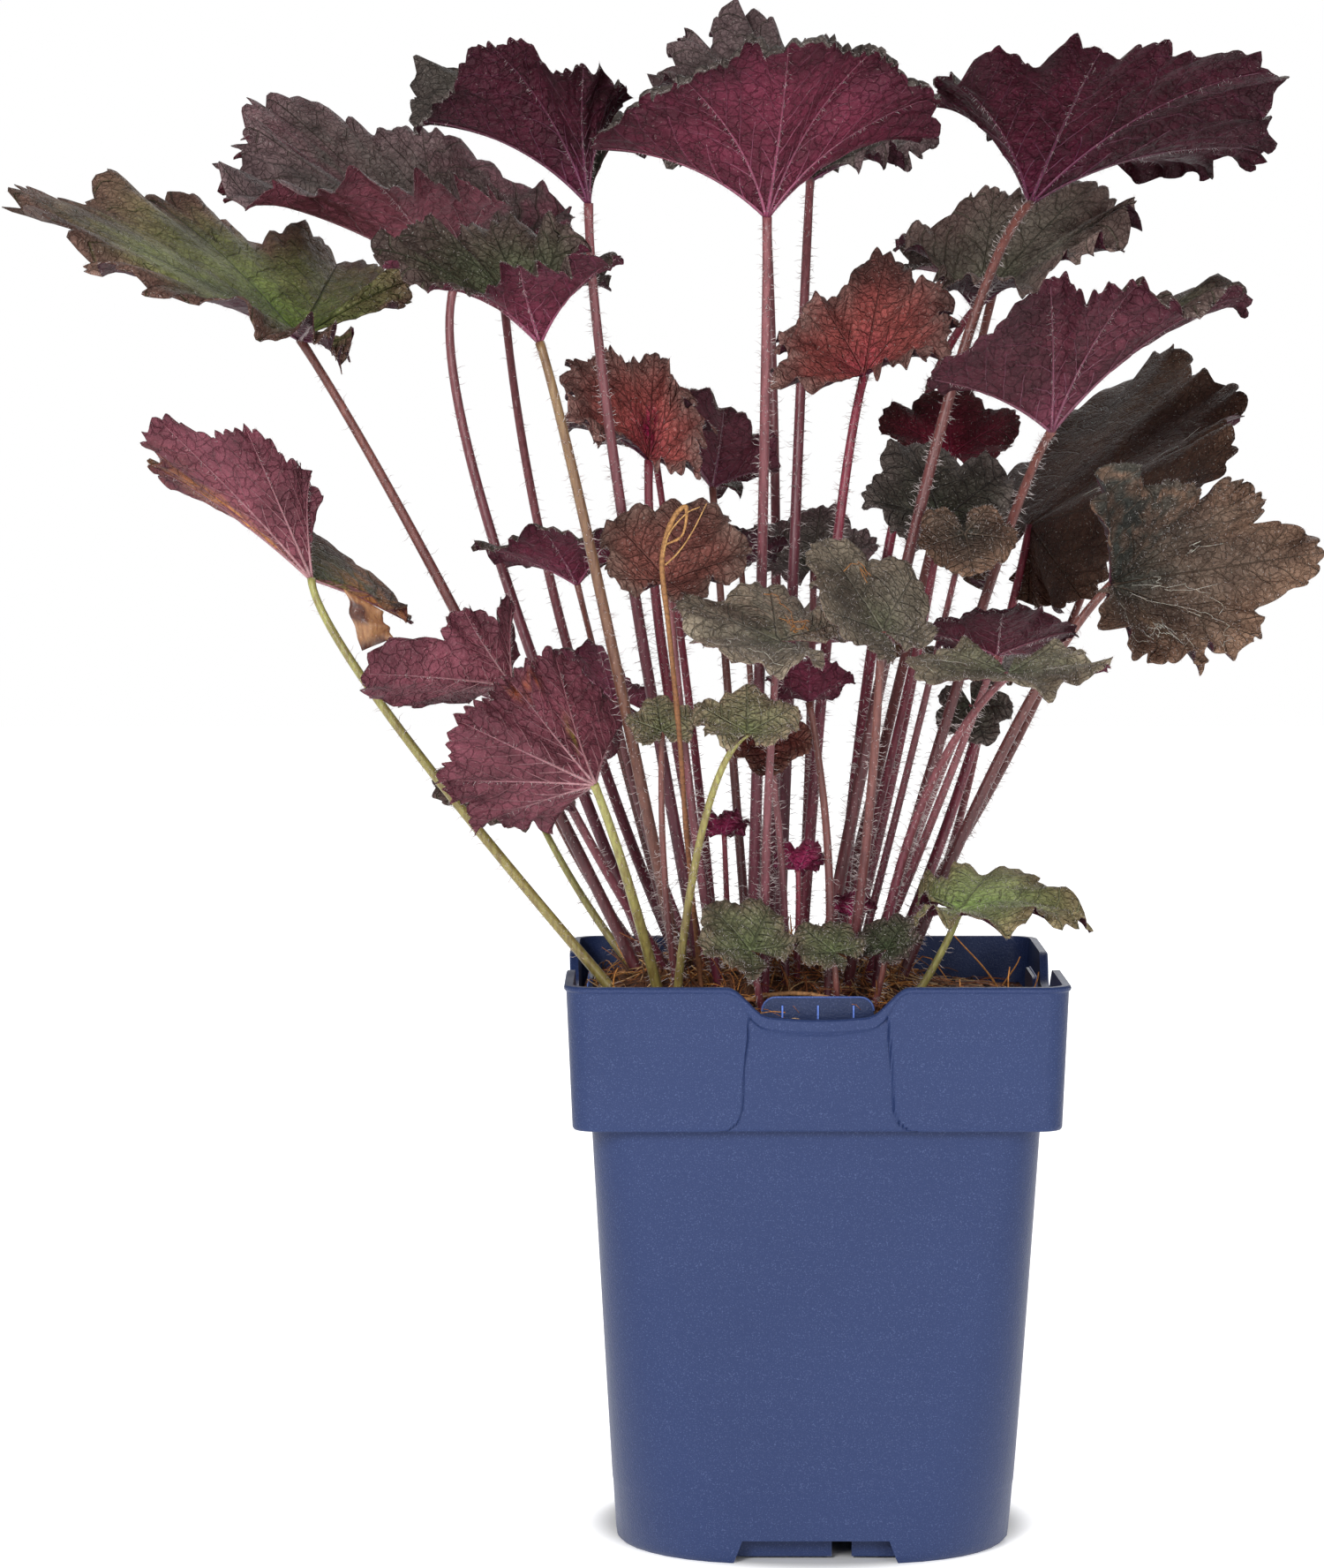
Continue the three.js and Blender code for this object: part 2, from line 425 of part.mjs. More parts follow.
// ---------------------------------------------------------------- stalks
function stalkCurve(leaf) {
  const at = new THREE.Vector3(...leaf.at);
  const foot = new THREE.Vector3(leaf.foot[0], leaf.foot[1], soilHeight(...leaf.foot) - ROOT_DEPTH);
  const mid = new THREE.Vector3(...leaf.mid);
  const control = mid.multiplyScalar(2).sub(foot.clone().add(at).multiplyScalar(0.5));
  return new THREE.QuadraticBezierCurve3(foot, control, at);
}

function stalkRings(curve, radius, sides, steps, grow) {
  const lower = curve.v1.clone().sub(curve.v0);
  const upper = curve.v2.clone().sub(curve.v0);
  const side = new THREE.Vector3().crossVectors(lower, upper);
  if (side.length() < 1) side.set(0, 1, 0);
  side.normalize();
  const rings = [];
  for (let j = 0; j <= steps; j++) {
    const t = j / steps;
    const point = curve.getPoint(t);
    const along = curve.getTangent(t);
    const across = side.clone().addScaledVector(along, -side.dot(along)).normalize();
    const up = new THREE.Vector3().crossVectors(along, across);
    if (j === 0) point.addScaledVector(along, -grow);
    if (j === steps) point.addScaledVector(along, 0.2);
    const r = radius * (1.2 - 0.4 * t) + grow;
    const ring = [];
    for (let i = 0; i < sides; i++) {
      const angle = (i / sides) * 2 * Math.PI;
      const offset = across.clone().multiplyScalar(r * Math.cos(angle));
      ring.push(offset.addScaledVector(up, r * Math.sin(angle)).add(point));
    }
    rings.push(ring);
  }
  return rings;
}

// The room a stalk needs in the soil: its own rings, widened, up to the first one clear of the surface.
function holeAround(rings) {
  const clear = rings.findIndex((ring) => ring.every((p) => p.z > soilHeight(p.x, p.y) + 3));
  return loft(rings.slice(0, clear + 1));
}

// ---------------------------------------------------------------- blades
function random(seed, k) {
  const x = Math.sin(seed * 12.9898 + k * 78.233) * 43758.5453;
  return x - Math.floor(x);
}

function bladeFrame(leaf) {
  const [az, rise, roll] = [leaf.az, leaf.rise, leaf.roll].map(THREE.MathUtils.degToRad);
  const along = new THREE.Vector3(Math.cos(az) * Math.cos(rise), Math.sin(az) * Math.cos(rise), Math.sin(rise));
  const level = new THREE.Vector3(-Math.sin(az), Math.cos(az), 0);
  const normal = new THREE.Vector3().crossVectors(along, level);
  const side = level.clone().multiplyScalar(Math.cos(roll)).addScaledVector(normal, Math.sin(roll));
  const up = normal.multiplyScalar(Math.cos(roll)).addScaledVector(level, -Math.sin(roll));
  return { along, side, up };
}

// A smooth value in the direction theta from one value for each lobe.
function lobeValue(values, rest, theta) {
  if (values.length === 0) return rest;
  const place = ((theta / BLADE_SPREAD + 1) / 2) * values.length - 0.5;
  const at = THREE.MathUtils.clamp(place, 0, values.length - 1);
  const low = Math.min(Math.floor(at), values.length - 2);
  return THREE.MathUtils.lerp(values[low], values[low + 1], THREE.MathUtils.smoothstep(at - low, 0, 1));
}

// Distance from the stalk to the margin in the direction theta from the midrib.
function marginRadius(leaf, theta) {
  const place = ((theta / BLADE_SPREAD + 1) / 2) * leaf.lobes;
  const lobe = Math.min(Math.max(Math.floor(place), 0), leaf.lobes - 1);
  const u = place - lobe - 0.5;
  const outline = 1 - leaf.base * Math.abs(theta / BLADE_SPREAD) ** 1.6;
  const uneven = 1 + 0.12 * (random(leaf.seed, 3 + lobe) - 0.5);
  const rounded = 1 - leaf.cut * Math.abs(2 * u) ** 2.4;
  const teeth = 1 + 0.05 * Math.cos(6 * Math.PI * u);
  return leaf.size * outline * uneven * rounded * teeth * lobeValue(leaf.lengths, 1, theta);
}

// The ruffle: waves that grow toward the margin.
function marginWave(leaf, theta, s) {
  const place = ((theta / BLADE_SPREAD + 1) / 2) * leaf.lobes;
  const broad = Math.sin(2 * Math.PI * (place * (0.85 + 0.3 * random(leaf.seed, 1)) + random(leaf.seed, 2)));
  const fine = Math.sin(2 * Math.PI * (place * 1.9 + random(leaf.seed, 5)));
  return leaf.ruffle * leaf.size * s ** 2.2 * (0.7 * broad + 0.4 * fine);
}

// A point of the blade's middle surface: theta from the midrib, s from the stalk (0) to the margin (1).
function bladePoint(leaf, axes, theta, s) {
  const radius = marginRadius(leaf, theta);
  const start = THREE.MathUtils.degToRad(leaf.cup + lobeValue(leaf.lifts, 0, theta));
  const turn = THREE.MathUtils.degToRad(leaf.flare - leaf.cup) || 0.001;
  const slope = start + turn * s;
  const wave = marginWave(leaf, theta, s);
  const out = (radius * (Math.sin(slope) - Math.sin(start))) / turn - wave * Math.sin(slope);
  const rise = (radius * (Math.cos(start) - Math.cos(slope))) / turn + wave * Math.cos(slope);
  const fold = THREE.MathUtils.degToRad(leaf.fold);
  const x = out * Math.cos(theta);
  const y = out * Math.sin(theta);
  const point = new THREE.Vector3(...leaf.at);
  point.addScaledVector(axes.along, x);
  point.addScaledVector(axes.side, y * Math.cos(fold));
  point.addScaledVector(axes.up, rise + Math.abs(y) * Math.sin(fold));
  point.z -= leaf.nod * leaf.size * Math.max(0, x / leaf.size) ** 2;
  return point;
}

// Triangles between an outer row of points and an inner row that has fewer.
function stitchRows(outer, inner, ratio, triangles) {
  for (let j = 0; j < inner.length - 1; j++) {
    const turn = Math.floor((ratio + 1) / 2);
    for (let i = 0; i < ratio; i++) {
      const near = i < turn ? inner[j] : inner[j + 1];
      triangles.push([near, outer[ratio * j + i], outer[ratio * j + i + 1]]);
      if (i === turn - 1) triangles.push([near, outer[ratio * j + i + 1], inner[j + 1]]);
    }
  }
}

// Rows of points from the margin inward: points for each lobe, and s.
function rowPlan(leaf) {
  if (leaf.lobes > 5) return [[6, 1], [2, 0.64], [1, 0.3]];
  if (leaf.size > 23) return [[4, 1], [2, 0.6]];
  return [[4, 1], [1, 0.6]];
}

function bladeSheet(leaf, axes) {
  const rows = rowPlan(leaf);
  const points = [];
  const ids = rows.map(([perLobe, s]) => {
    const row = [];
    const count = perLobe * leaf.lobes;
    for (let i = 0; i <= count; i++) {
      row.push(points.length);
      points.push(bladePoint(leaf, axes, ((2 * i) / count - 1) * BLADE_SPREAD, s));
    }
    return row;
  });
  const centre = points.length;
  points.push(new THREE.Vector3(...leaf.at));
  const triangles = [];
  for (let j = 0; j < rows.length - 1; j++) {
    stitchRows(ids[j], ids[j + 1], rows[j][0] / rows[j + 1][0], triangles);
  }
  const innermost = ids.at(-1);
  for (let i = 0; i < innermost.length - 1; i++) triangles.push([centre, innermost[i], innermost[i + 1]]);
  const inner = ids.slice(1);
  const edge = [...ids[0], ...inner.map((row) => row.at(-1)), centre, ...inner.map((row) => row[0]).reverse()];
  return { points, triangles, edge };
}

function sheetNormals(points, triangles) {
  const normals = points.map(() => new THREE.Vector3());
  for (const [a, b, c] of triangles) {
    const ab = points[b].clone().sub(points[a]);
    const ac = points[c].clone().sub(points[a]);
    const face = ab.cross(ac);
    for (const i of [a, b, c]) normals[i].add(face);
  }
  return normals.map((n) => n.normalize());
}

function bladeSolid(leaf) {
  const { points, triangles, edge } = bladeSheet(leaf, bladeFrame(leaf));
  const normals = sheetNormals(points, triangles);
  const count = points.length;
  const half = BLADE_THICKNESS / 2;
  const top = points.map((p, i) => p.clone().addScaledVector(normals[i], half));
  const bottom = points.map((p, i) => p.clone().addScaledVector(normals[i], -half));
  const faces = [];
  for (const [a, b, c] of triangles) {
    faces.push(a, b, c);
    faces.push(count + a, count + c, count + b);
  }
  edge.forEach((a, i) => {
    const b = edge[(i + 1) % edge.length];
    faces.push(a, count + a, count + b);
    faces.push(a, count + b, b);
  });
  return toSolid([...top, ...bottom].flatMap((p) => [p.x, p.y, p.z]), faces);
}

// ---------------------------------------------------------------- dried flower stalk
const STRAW_RADIUS = 0.9;
const STRAW_SIDES = 5;
const STRAW_POINTS = [
  [-33, -38, 158], [-36, -46, 190], [-39, -58, 222], [-41, -69, 250], [-44, -72, 280],
  [-46, -72, 300], [-43, -73, 312], [-39, -74, 316], [-40, -76, 308], [-45, -77, 305],
];

function buildStraw(points, radius) {
  const curve = new THREE.CatmullRomCurve3(points.map((p) => new THREE.Vector3(...p)));
  const steps = 22;
  const frames = curve.computeFrenetFrames(steps, false);
  const rings = [];
  for (let j = 0; j <= steps; j++) {
    const centre = curve.getPointAt(j / steps);
    const ring = [];
    for (let i = 0; i < STRAW_SIDES; i++) {
      const angle = (i / STRAW_SIDES) * 2 * Math.PI;
      const offset = frames.normals[j].clone().multiplyScalar(Math.cos(angle));
      offset.addScaledVector(frames.binormals[j], Math.sin(angle));
      ring.push(centre.clone().addScaledVector(offset, radius));
    }
    rings.push(ring);
  }
  return loft(rings);
}

function strawHole() {
  const [foot, next] = STRAW_POINTS.map((p) => new THREE.Vector3(...p));
  const ends = [foot.clone().lerp(next, -0.02), foot.clone().lerp(next, 0.9)];
  const radius = STRAW_RADIUS + GAP + 0.25;
  const turns = Array.from({ length: STRAW_SIDES }, (_, i) => (i / STRAW_SIDES) * 2 * Math.PI);
  const ring = (centre) => turns.map((a) =>
    centre.clone().add(new THREE.Vector3(radius * Math.cos(a), radius * Math.sin(a), 0)));
  return loft(ends.map(ring));
}

// ---------------------------------------------------------------- assembly
const plant = new THREE.Group();

function addNode(name, solid, colour, roughness) {
  const material = new THREE.MeshStandardMaterial({ color: colour, roughness, metalness: 0 });
  const mesh = new THREE.Mesh(geometryFromSolid(solid), material);
  mesh.name = name;
  plant.add(mesh);
}

const holes = [];
Object.entries(LEAVES).forEach(([name, row], index) => {
  const leaf = { ...LEAF_DEFAULTS, ...row, seed: index + 1 };
  const curve = stalkCurve(leaf);
  const [sides, steps] = leaf.lobes > 5 ? [5, 6] : [4, 4];
  const stalk = loft(stalkRings(curve, leaf.stalk, sides, steps, 0));
  holes.push(holeAround(stalkRings(curve, leaf.stalk, sides, steps, GAP)));
  addNode(`leaf_${name}`, stalk.add(bladeSolid(leaf)), COLOURS[leaf.tone], 0.6);
});

addNode("dried_flower_stalk", buildStraw(STRAW_POINTS, STRAW_RADIUS), COLOURS.straw, 0.8);
holes.push(strawHole());
addNode("pot", buildPot(), COLOURS.pot, 0.45);
addNode("soil", buildSoil(holes), COLOURS.soil, 0.95);

export default plant;
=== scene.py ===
"""Heuchera in a square nursery pot: fine meshes, finishes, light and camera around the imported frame.

Sizes are millimetres in the frame's axes until a mesh is made, which is in metres.
"""
import math
from types import SimpleNamespace

import bpy
import numpy as np
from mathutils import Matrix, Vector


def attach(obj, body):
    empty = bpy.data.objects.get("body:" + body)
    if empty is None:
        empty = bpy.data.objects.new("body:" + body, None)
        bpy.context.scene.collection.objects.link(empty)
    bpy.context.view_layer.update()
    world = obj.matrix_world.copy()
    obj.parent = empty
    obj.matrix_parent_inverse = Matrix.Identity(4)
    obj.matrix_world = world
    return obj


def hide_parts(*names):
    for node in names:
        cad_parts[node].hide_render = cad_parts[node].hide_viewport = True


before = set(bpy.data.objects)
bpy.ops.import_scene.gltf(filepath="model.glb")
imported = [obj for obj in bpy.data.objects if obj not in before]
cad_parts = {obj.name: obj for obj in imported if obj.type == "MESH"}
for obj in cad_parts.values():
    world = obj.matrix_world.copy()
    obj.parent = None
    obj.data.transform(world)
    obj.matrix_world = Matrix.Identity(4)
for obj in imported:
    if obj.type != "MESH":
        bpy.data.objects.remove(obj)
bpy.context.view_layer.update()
MM = 0.001

# ---------------------------------------------------------------- camera
CAMERA_AT = (-46, -1535, 342)
CAMERA_PITCH = 4.19
LENS = 114.87
SENSOR = 36

# ---------------------------------------------------------------- pot
POT_HEIGHT = 175
COLLAR_BASE = 132
COLLAR_HALF_LOW = 72.5
COLLAR_HALF_TOP = 74.4
COLLAR_WALL = 2.1
COLLAR_CORNER = 9
BODY_HALF_TOP = 67
BODY_HALF_LOW = 60
BODY_WALL = 1.6
BODY_CORNER_TOP = 14
BODY_CORNER_LOW = 42
FLOOR_LOW = 8
FLOOR_TOP = 9.6
PANEL_DEPTH = 0.8
PANEL_HALF_TOP = 19.6
PANEL_HALF_LOW = 22.8
PANEL_CORNER = 6
DIP_DEPTH = 8
DIP_SAG = 1.6
DIP_HALF = 20
LIP_OUT = 0.6
LIP_HEIGHT = 1.6
LIP_HEIGHT_DIP = 4.2
SEAM_DEPTH = 0.75
EDGE_ROUND = 0.5
STRAIGHT_END = 62.0
TAB_HALF = 16.5
TAB_TOP = 171.5
TAB_LOW = 148
TAB_Y = -67.8
TAB_CORNER = 4
TAB_LEDGE = 4.2
TAB_RIBS_AT = (-10.5, 0, 10.5)
NOTCH_HALF = 25
NOTCH_HEIGHT = 7
SKIRT_HALF = 52
SKIRT_SPANS = ((-24, 5), (11, 25))
PAD_RADIUS = 13
DRAIN_RADIUS = 4.5
DRAIN_OFFSET = 34
PARTING_LINE = 20

# ---------------------------------------------------------------- soil
SOIL_GAP = 0.35
SOIL_EDGE = 160
MOUND_HEIGHT = 18
MOUND_X = -15
MOUND_WIDTH = 38
ROOT_DEPTH = 12

# ---------------------------------------------------------------- leaves
# A point of a blade has theta, its direction from the midrib up to SPREAD either way, and s, from the stalk
# (0) to the margin (1). Its place among the lobes runs from 0 to their number as theta grows.
SPREAD = math.radians(165)
BLADE_HALF = 0.26
EDGE_HALF = 0.12
LIP_START = 0.92
# Side veins leave a lobe's midrib at VEIN_ANGLE, one each VEIN_GAP of the blade, by turns left and right.
VEIN_ANGLE = math.radians(46)
VEIN_GAP = 0.135
SIDE_SHIFT = 0.45
# cut, base: depth of the lobes, and how much shorter the basal ones are; fold: the halves raised about the
# midrib in degrees; nod: how far the tip hangs; stalk: about its radius; lengths, lifts: the length and the
# added slope of each lobe; sinus: share of the cut that shows; lip: how far the margin rolls over in degrees;
# teeth: teeth on a lobe, and tip: how pointed they are; frill, fine, puff: depth of the frill, of the teeth,
# and of the pillows between the veins.
LEAF_DEFAULTS = dict(lobes=7, cut=0.2, base=0.42, fold=0, nod=0, stalk=1.7, lengths=(), lifts=(), sinus=0.8,
                     lip=70, frill=0.045, fine=0.042, puff=0.02, teeth=7, tip=0.32)


def new_leaf(at, mid, foot, turn, form, look, **rest):
    """The values of one leaf.

    at is where the stalk meets the blade, mid a point that the stalk passes halfway, and foot its x, y in the
    soil. turn is the midrib's heading, slope and bank in degrees. form is the blade's size, its slope in
    degrees at the middle and at the margin, and the depth of its waves. look names the upper side, the
    underside, the stalk and its hairs. rest is what differs from LEAF_DEFAULTS.
    """
    az, rise, roll = turn
    size, cup, flare, ruffle = form
    top, under, stem, hairs = look.split()
    fixed = dict(at=at, mid=mid, foot=foot, az=az, rise=rise, roll=roll, size=size, cup=cup, flare=flare,
                 ruffle=ruffle, top=top, under=under, stem=stem, hairs=hairs)
    return {**LEAF_DEFAULTS, **fixed, **rest}


LEAVES = {
    "top_centre": new_leaf((-15, -52, 401), (-16, -33, 298), (-19, -20), (-95, 3, -11), (70, 56, 14, 0.04),
        "dark purple rose full", sinus=0.3, lip=115, frill=0.035, fine=0.026, teeth=9,
        lengths=(0.99, 0.95, 0.9, 0.99, 1.04, 1, 1.52), lifts=(-3, -23, 3, 10, 24, 12, -2)),
    "top_left": new_leaf((-68, -28, 406), (-59, -22, 319), (-32, -14), (191, -12, 4), (62, 64, 19, 0.04),
        "dark plum rose full", sinus=0.35, lip=115, frill=0.035, fine=0.028, teeth=9,
        lengths=(1.01, 1.04, 1.34, 1.04, 0.97, 1.01, 0.92), lifts=(0, 1, 8, -4, 16, 9, 14)),
    "top_right": new_leaf((66, -4, 407), (37, -24, 335), (1, -16), (7, -20, -5), (76, 52, 13, 0.04),
        "dark plum brown full", stalk=1.8, sinus=0.5, lip=105, frill=0.035, fine=0.03, teeth=8,
        lengths=(1.09, 1.2, 1.21, 1.12, 1.16, 1.02, 1), lifts=(-9, 5, 7, 1, -4, -1, 0)),
    "top_back": new_leaf((1, 60, 417), (-3, 32, 343), (-10, 16), (122, 4, -4), (64, 48, 17, 0.05),
        "dusky plum rose low", sinus=0.6, lip=50, frill=0.05,
        lengths=(0.68, 0.96, 0.93, 1.05, 0.99, 1.33, 1.05), lifts=(-17, -19, 20, 19, 16, -2, 0)),
    "left_upper": new_leaf((-111, 36, 383), (-100, 30, 308), (-44, 12), (167, -21, -12), (74, 42, 20, 0.05),
        "dusky pink rose bare", sinus=0.5, lip=30, frill=0.05, lengths=(0.9, 1, 1.47, 1.17, 1.23, 1.22, 0.84),
        lifts=(-28, 22, 18, 27, 12, 9, 3)),
    "left_inner": new_leaf((-82, -56, 364), (-66, -52, 298), (-38, -22), (185, -24, -13), (52, 55, 22, 0.05),
        "moss purple tan low", sinus=0.5, lip=40, frill=0.05, fine=0.032, teeth=8,
        lengths=(1.08, 1.05, 1.01, 1.14, 0.72, 0.92, 1.21), lifts=(3, 5, 21, 14, 11, 9, -11)),
    "left_far": new_leaf((-157, 4, 366), (-113, 3, 289), (-48, 0), (185, 19, -24), (96, 14, 2, 0.04),
        "green plum brown bare", base=0.5, sinus=0.75, lip=40, frill=0.05, fine=0.075, teeth=10, tip=0.2,
        lengths=(0.72, 0.85, 0.95, 1.04, 0.9, 0.45, 0.35), lifts=(26, -2, -6, 0, 10, 20, 10)),
    "left_fold": new_leaf((-153, -8, 293), (-127, -16, 249), (-51, -26), (180, -25, 20), (56, 68, 52, 0.03),
        "moss pink green bare", base=0.5, stalk=1.5, sinus=0.55, lip=10, frill=0.03,
        lengths=(0.95, 0.7, 0.95, 1.15, 1.22, 1.15, 1), lifts=(-98, 0, 0, 0, 0, 0, 0)),
    "left_star": new_leaf((-91, -40, 262), (-66, -21, 210), (-37, -12), (225, -8, 65), (42, 35, 21, 0.03),
        "dark pink rose low", lobes=5, cut=0.32, stalk=1.5, sinus=1.0, lip=20, frill=0.03, fine=0.05,
        lengths=(1.02, 1.12, 1.06, 0.75, 0.92), lifts=(17, 28, 3, 17, 15)),
    "left_small": new_leaf((-61, 0, 256), (-49, 1, 209), (-31, -1), (165, 31, 36), (24, 10, 2, 0.06),
        "dark purple rose low", lobes=5, cut=0.28, stalk=1.3),
    "left_low": new_leaf((-66, -62, 234), (-56, -48, 203), (-44, -33), (233, 14, 69), (50, 36, 24, 0.03),
        "green pink green bare", base=0.45, stalk=1.6, sinus=0.45, lip=30, frill=0.03,
        lengths=(1.1, 1, 0.98, 0.88, 0.84, 1.2, 1.09), lifts=(11, 20, 24, 18, 24, 22, 4)),
    "left_dark": new_leaf((-88, 44, 222), (-70, 32, 190), (-46, 18), (182, 0, -24), (30, 14, 5, 0.06),
        "moss plum green bare", lobes=5, stalk=1.3),
    "mid_rust": new_leaf((-50, 6, 329), (-45, 5, 264), (-26, 7), (82, 25, 0), (36, 41, 23, 0.06),
        "rust plum crimson full", sinus=0.9, lip=60, frill=0.07,
        lengths=(1.09, 0.81, 0.72, 0.96, 1.1, 1.4, 1.52), lifts=(-16, 2, 20, 11, 28, 23, 9)),
    "mid_purple": new_leaf((-30, 49, 320), (-24, 40, 240), (-18, 26), (-165, 24, 19), (42, 40, 16, 0.08),
        "moss berry brown low", lobes=5, base=0.7, stalk=1.4),
    "mid_red": new_leaf((16, 2, 355), (6, -8, 291), (-4, -2), (79, 27, 8), (38, 34, 16, 0.06),
        "rust plum crimson full", sinus=1.0, lip=50, frill=0.06,
        lengths=(1.37, 1.08, 1.01, 1.14, 0.86, 0.94, 1.43), lifts=(9, 12, 16, 6, 5, -5, -12)),
    "mid_wing": new_leaf((-72, 1, 291), (-56, 26, 226), (-38, 9), (185, -6, 14), (34, 38, 16, 0.06),
        "moss purple brown low", lobes=5, stalk=1.2),
    "mid_brown": new_leaf((-44, -40, 293), (-37, -37, 225), (-27, -31), (60, 37, 16), (31, 28, 12, 0.06),
        "copper plum rose full", lobes=5, base=0.66, stalk=1.4, tip=0),
    "mid_tiny": new_leaf((-22, -14, 297), (-17, -9, 231), (-15, -6), (-80, 25, -4), (18, 34, 15, 0.08),
        "dark plum brown full", lobes=5, stalk=1.1),
    "front_grey": new_leaf((-12, -70, 276.5), (-15, -54, 215), (-15, -44), (165, 13, -21), (30, 12, 4, 0.09),
        "grey purple rose full", lobes=5, stalk=1.4),
    "mid_grey": new_leaf((19, -56, 279), (15, -46, 215), (8, -34), (158, 49, -19), (32, 8, 2, 0.05),
        "grey purple brown full", lobes=5, base=0.7, fold=8, stalk=1.6),
    "front_green": new_leaf((-21, -78, 250), (-34, -64, 221), (-43, -48), (90, 28, 0), (19, 22, 8, 0.08),
        "pale plum green low", lobes=5, stalk=1.2),
    "front_tiny": new_leaf((-46, -52, 249), (-45, -46, 202), (-39, -40), (100, 40, -6), (13, 14, 5, 0.08),
        "pale plum brown low", lobes=5, stalk=1.1),
    "mid_under": new_leaf((-2, -38, 257), (4, -40, 208), (3, -41), (-90, 25, 0), (18, 34, 16, 0.07),
        "moss purple brown full", lobes=5, base=0.5, stalk=1.3),
    "right_upper": new_leaf((70, -42, 338), (52, -8, 285), (15, -10), (-13, -8, 4), (62, 56, 26, 0.04),
        "moss berry brown full", sinus=0.45, lip=100, frill=0.04, fine=0.03, teeth=8,
        lengths=(1.17, 1.03, 0.99, 1.12, 1.31, 1.04, 1.01), lifts=(-24, 15, 13, 3, -2, 0, 0)),
    "right_brown": new_leaf((70.5, 48, 308), (49, 34, 230), (20, 22), (-15, 53, 35), (68, -8, -10, 0.03),
        "umber plum crimson full", base=0.6, sinus=0.9, lip=20, frill=0.035, tip=0.06,
        lengths=(0.75, 0.95, 1.22, 1.24, 1.45, 1.07, 1.01), lifts=(-12, 2, 1, -14, -11, -1, 0)),
    "right_low": new_leaf((91.5, -4, 291), (62, -1, 246), (23, -5), (45, -4, 75), (60, 34, 27, 0.04),
        "slate plum brown low", base=0.5, sinus=1.0, lip=20, frill=0.04, tip=0,
        lengths=(1.23, 0.8, 0.86, 1.01, 0.94, 0.97, 1.38), lifts=(2, 10, 13, 18, 28, 27, 6)),
    "right_green": new_leaf((53, 54, 376), (28, 70, 307), (8, 16), (9, -16, 22), (56, 47, 19, 0.05),
        "silver plum crimson full", sinus=0.6, lip=40, frill=0.05,
        lengths=(0.66, 0.99, 1.07, 1.04, 1.19, 0.84, 0.9), lifts=(-7, -2, 14, 18, 10, 15, -14)),
    "mid_crimson": new_leaf((45, 42, 330), (29, 32, 241), (9, 23), (90, 30, 0), (27, 28, 12, 0.06),
        "crimson crimson crimson full", lobes=5, stalk=1.4),
    "mid_dark": new_leaf((40, 0, 310), (24, 3, 235), (5, 6), (112, 34, -10), (30, 22, 8, 0.08),
        "dark plum crimson full", lobes=5, stalk=1.4),
    "back_dark": new_leaf((2, 48, 295), (0, 34, 229), (-3, 20), (82, 35, 5), (26, 18, 8, 0.08),
        "dusky plum rose full", lobes=5, stalk=1.4),
    "right_tiny": new_leaf((45, -30, 307), (29, -5, 233), (11, -5), (-80, -50, 8), (18, 14, 5, 0.08),
        "slate plum rose full", lobes=5, stalk=1.2),
    "right_wing": new_leaf((55, -76, 267), (30, -43, 222), (17, -35), (-88, -12, 0), (34, 14, 5, 0.08),
        "ash purple rose full", lobes=5, stalk=1.5),
    "right_plum": new_leaf((54.5, -35, 271), (34, -26, 216), (12, -17), (-90, 18, 0), (31, 18, 8, 0.05),
        "plum wine rose full", lobes=5, base=0.6, stalk=1.4),
    "right_drop": new_leaf((50, 16, 253), (32, 12, 209), (16, 7), (-60, -56, 26), (15, 12, 5, 0.06),
        "dark plum rose full", lobes=5, cut=0.3, stalk=1.1),
    "rim_grey": new_leaf((-20, -66, 185), (-17, -61, 170), (-14, -54), (150, 33, -24), (20, 20, 8, 0.06),
        "sage plum rose low", lobes=5, base=0.5, stalk=1.2),
    "rim_small": new_leaf((5, -61, 184), (6, -58, 169), (7, -53), (150, 24, -26), (13, 14, 5, 0.07),
        "sage plum brown low", lobes=5, stalk=1.1),
    "rim_right": new_leaf((21, -54, 184), (18, -51, 169), (14, -48), (40, 38, 13), (13, 18, 5, 0.08),
        "moss plum brown low", lobes=5, stalk=1.1),
    "rim_wing": new_leaf((43, -48, 195), (33, -45, 174), (19, -42), (-3, 4, 12), (39, 16, 8, 0.07),
        "lit plum green low", lobes=5, base=0.7, nod=0.3, stalk=1.3),
    "mid_copper": new_leaf((-15, -46, 249), (-10, -39, 207), (-9, -36), (-85, -60, 4), (16, 12, 5, 0.08),
        "maroon crimson rose full", lobes=5, stalk=1.2),
    "young_a": new_leaf((-27, -14, 215), (-26, -11, 190), (-25, -8), (-70, 33, -11), (10, 34, 15, 0.14),
        "magenta magenta crimson full", lobes=5, stalk=1),
    "young_b": new_leaf((-5, -34, 206), (-5, -32, 184), (-6, -30), (-60, 31, -17), (11, 34, 15, 0.14),
        "magenta magenta crimson full", lobes=5, stalk=1),
    "young_c": new_leaf((11, -30, 192), (11, -29, 176), (10, -28), (-50, 28, -22), (9, 34, 15, 0.14),
        "magenta magenta crimson full", lobes=5, stalk=1),
    "rear_top": new_leaf((-12, 112, 416), (-9, 88, 285), (-13, 34), (95, 10, 0), (58, 36, 12, 0.08),
        "dark plum rose low"),
    "rear_right": new_leaf((64, 132, 384), (34, 84, 270), (5, 32), (52, 14, 2), (46, 36, 12, 0.08),
        "dark purple brown low"),
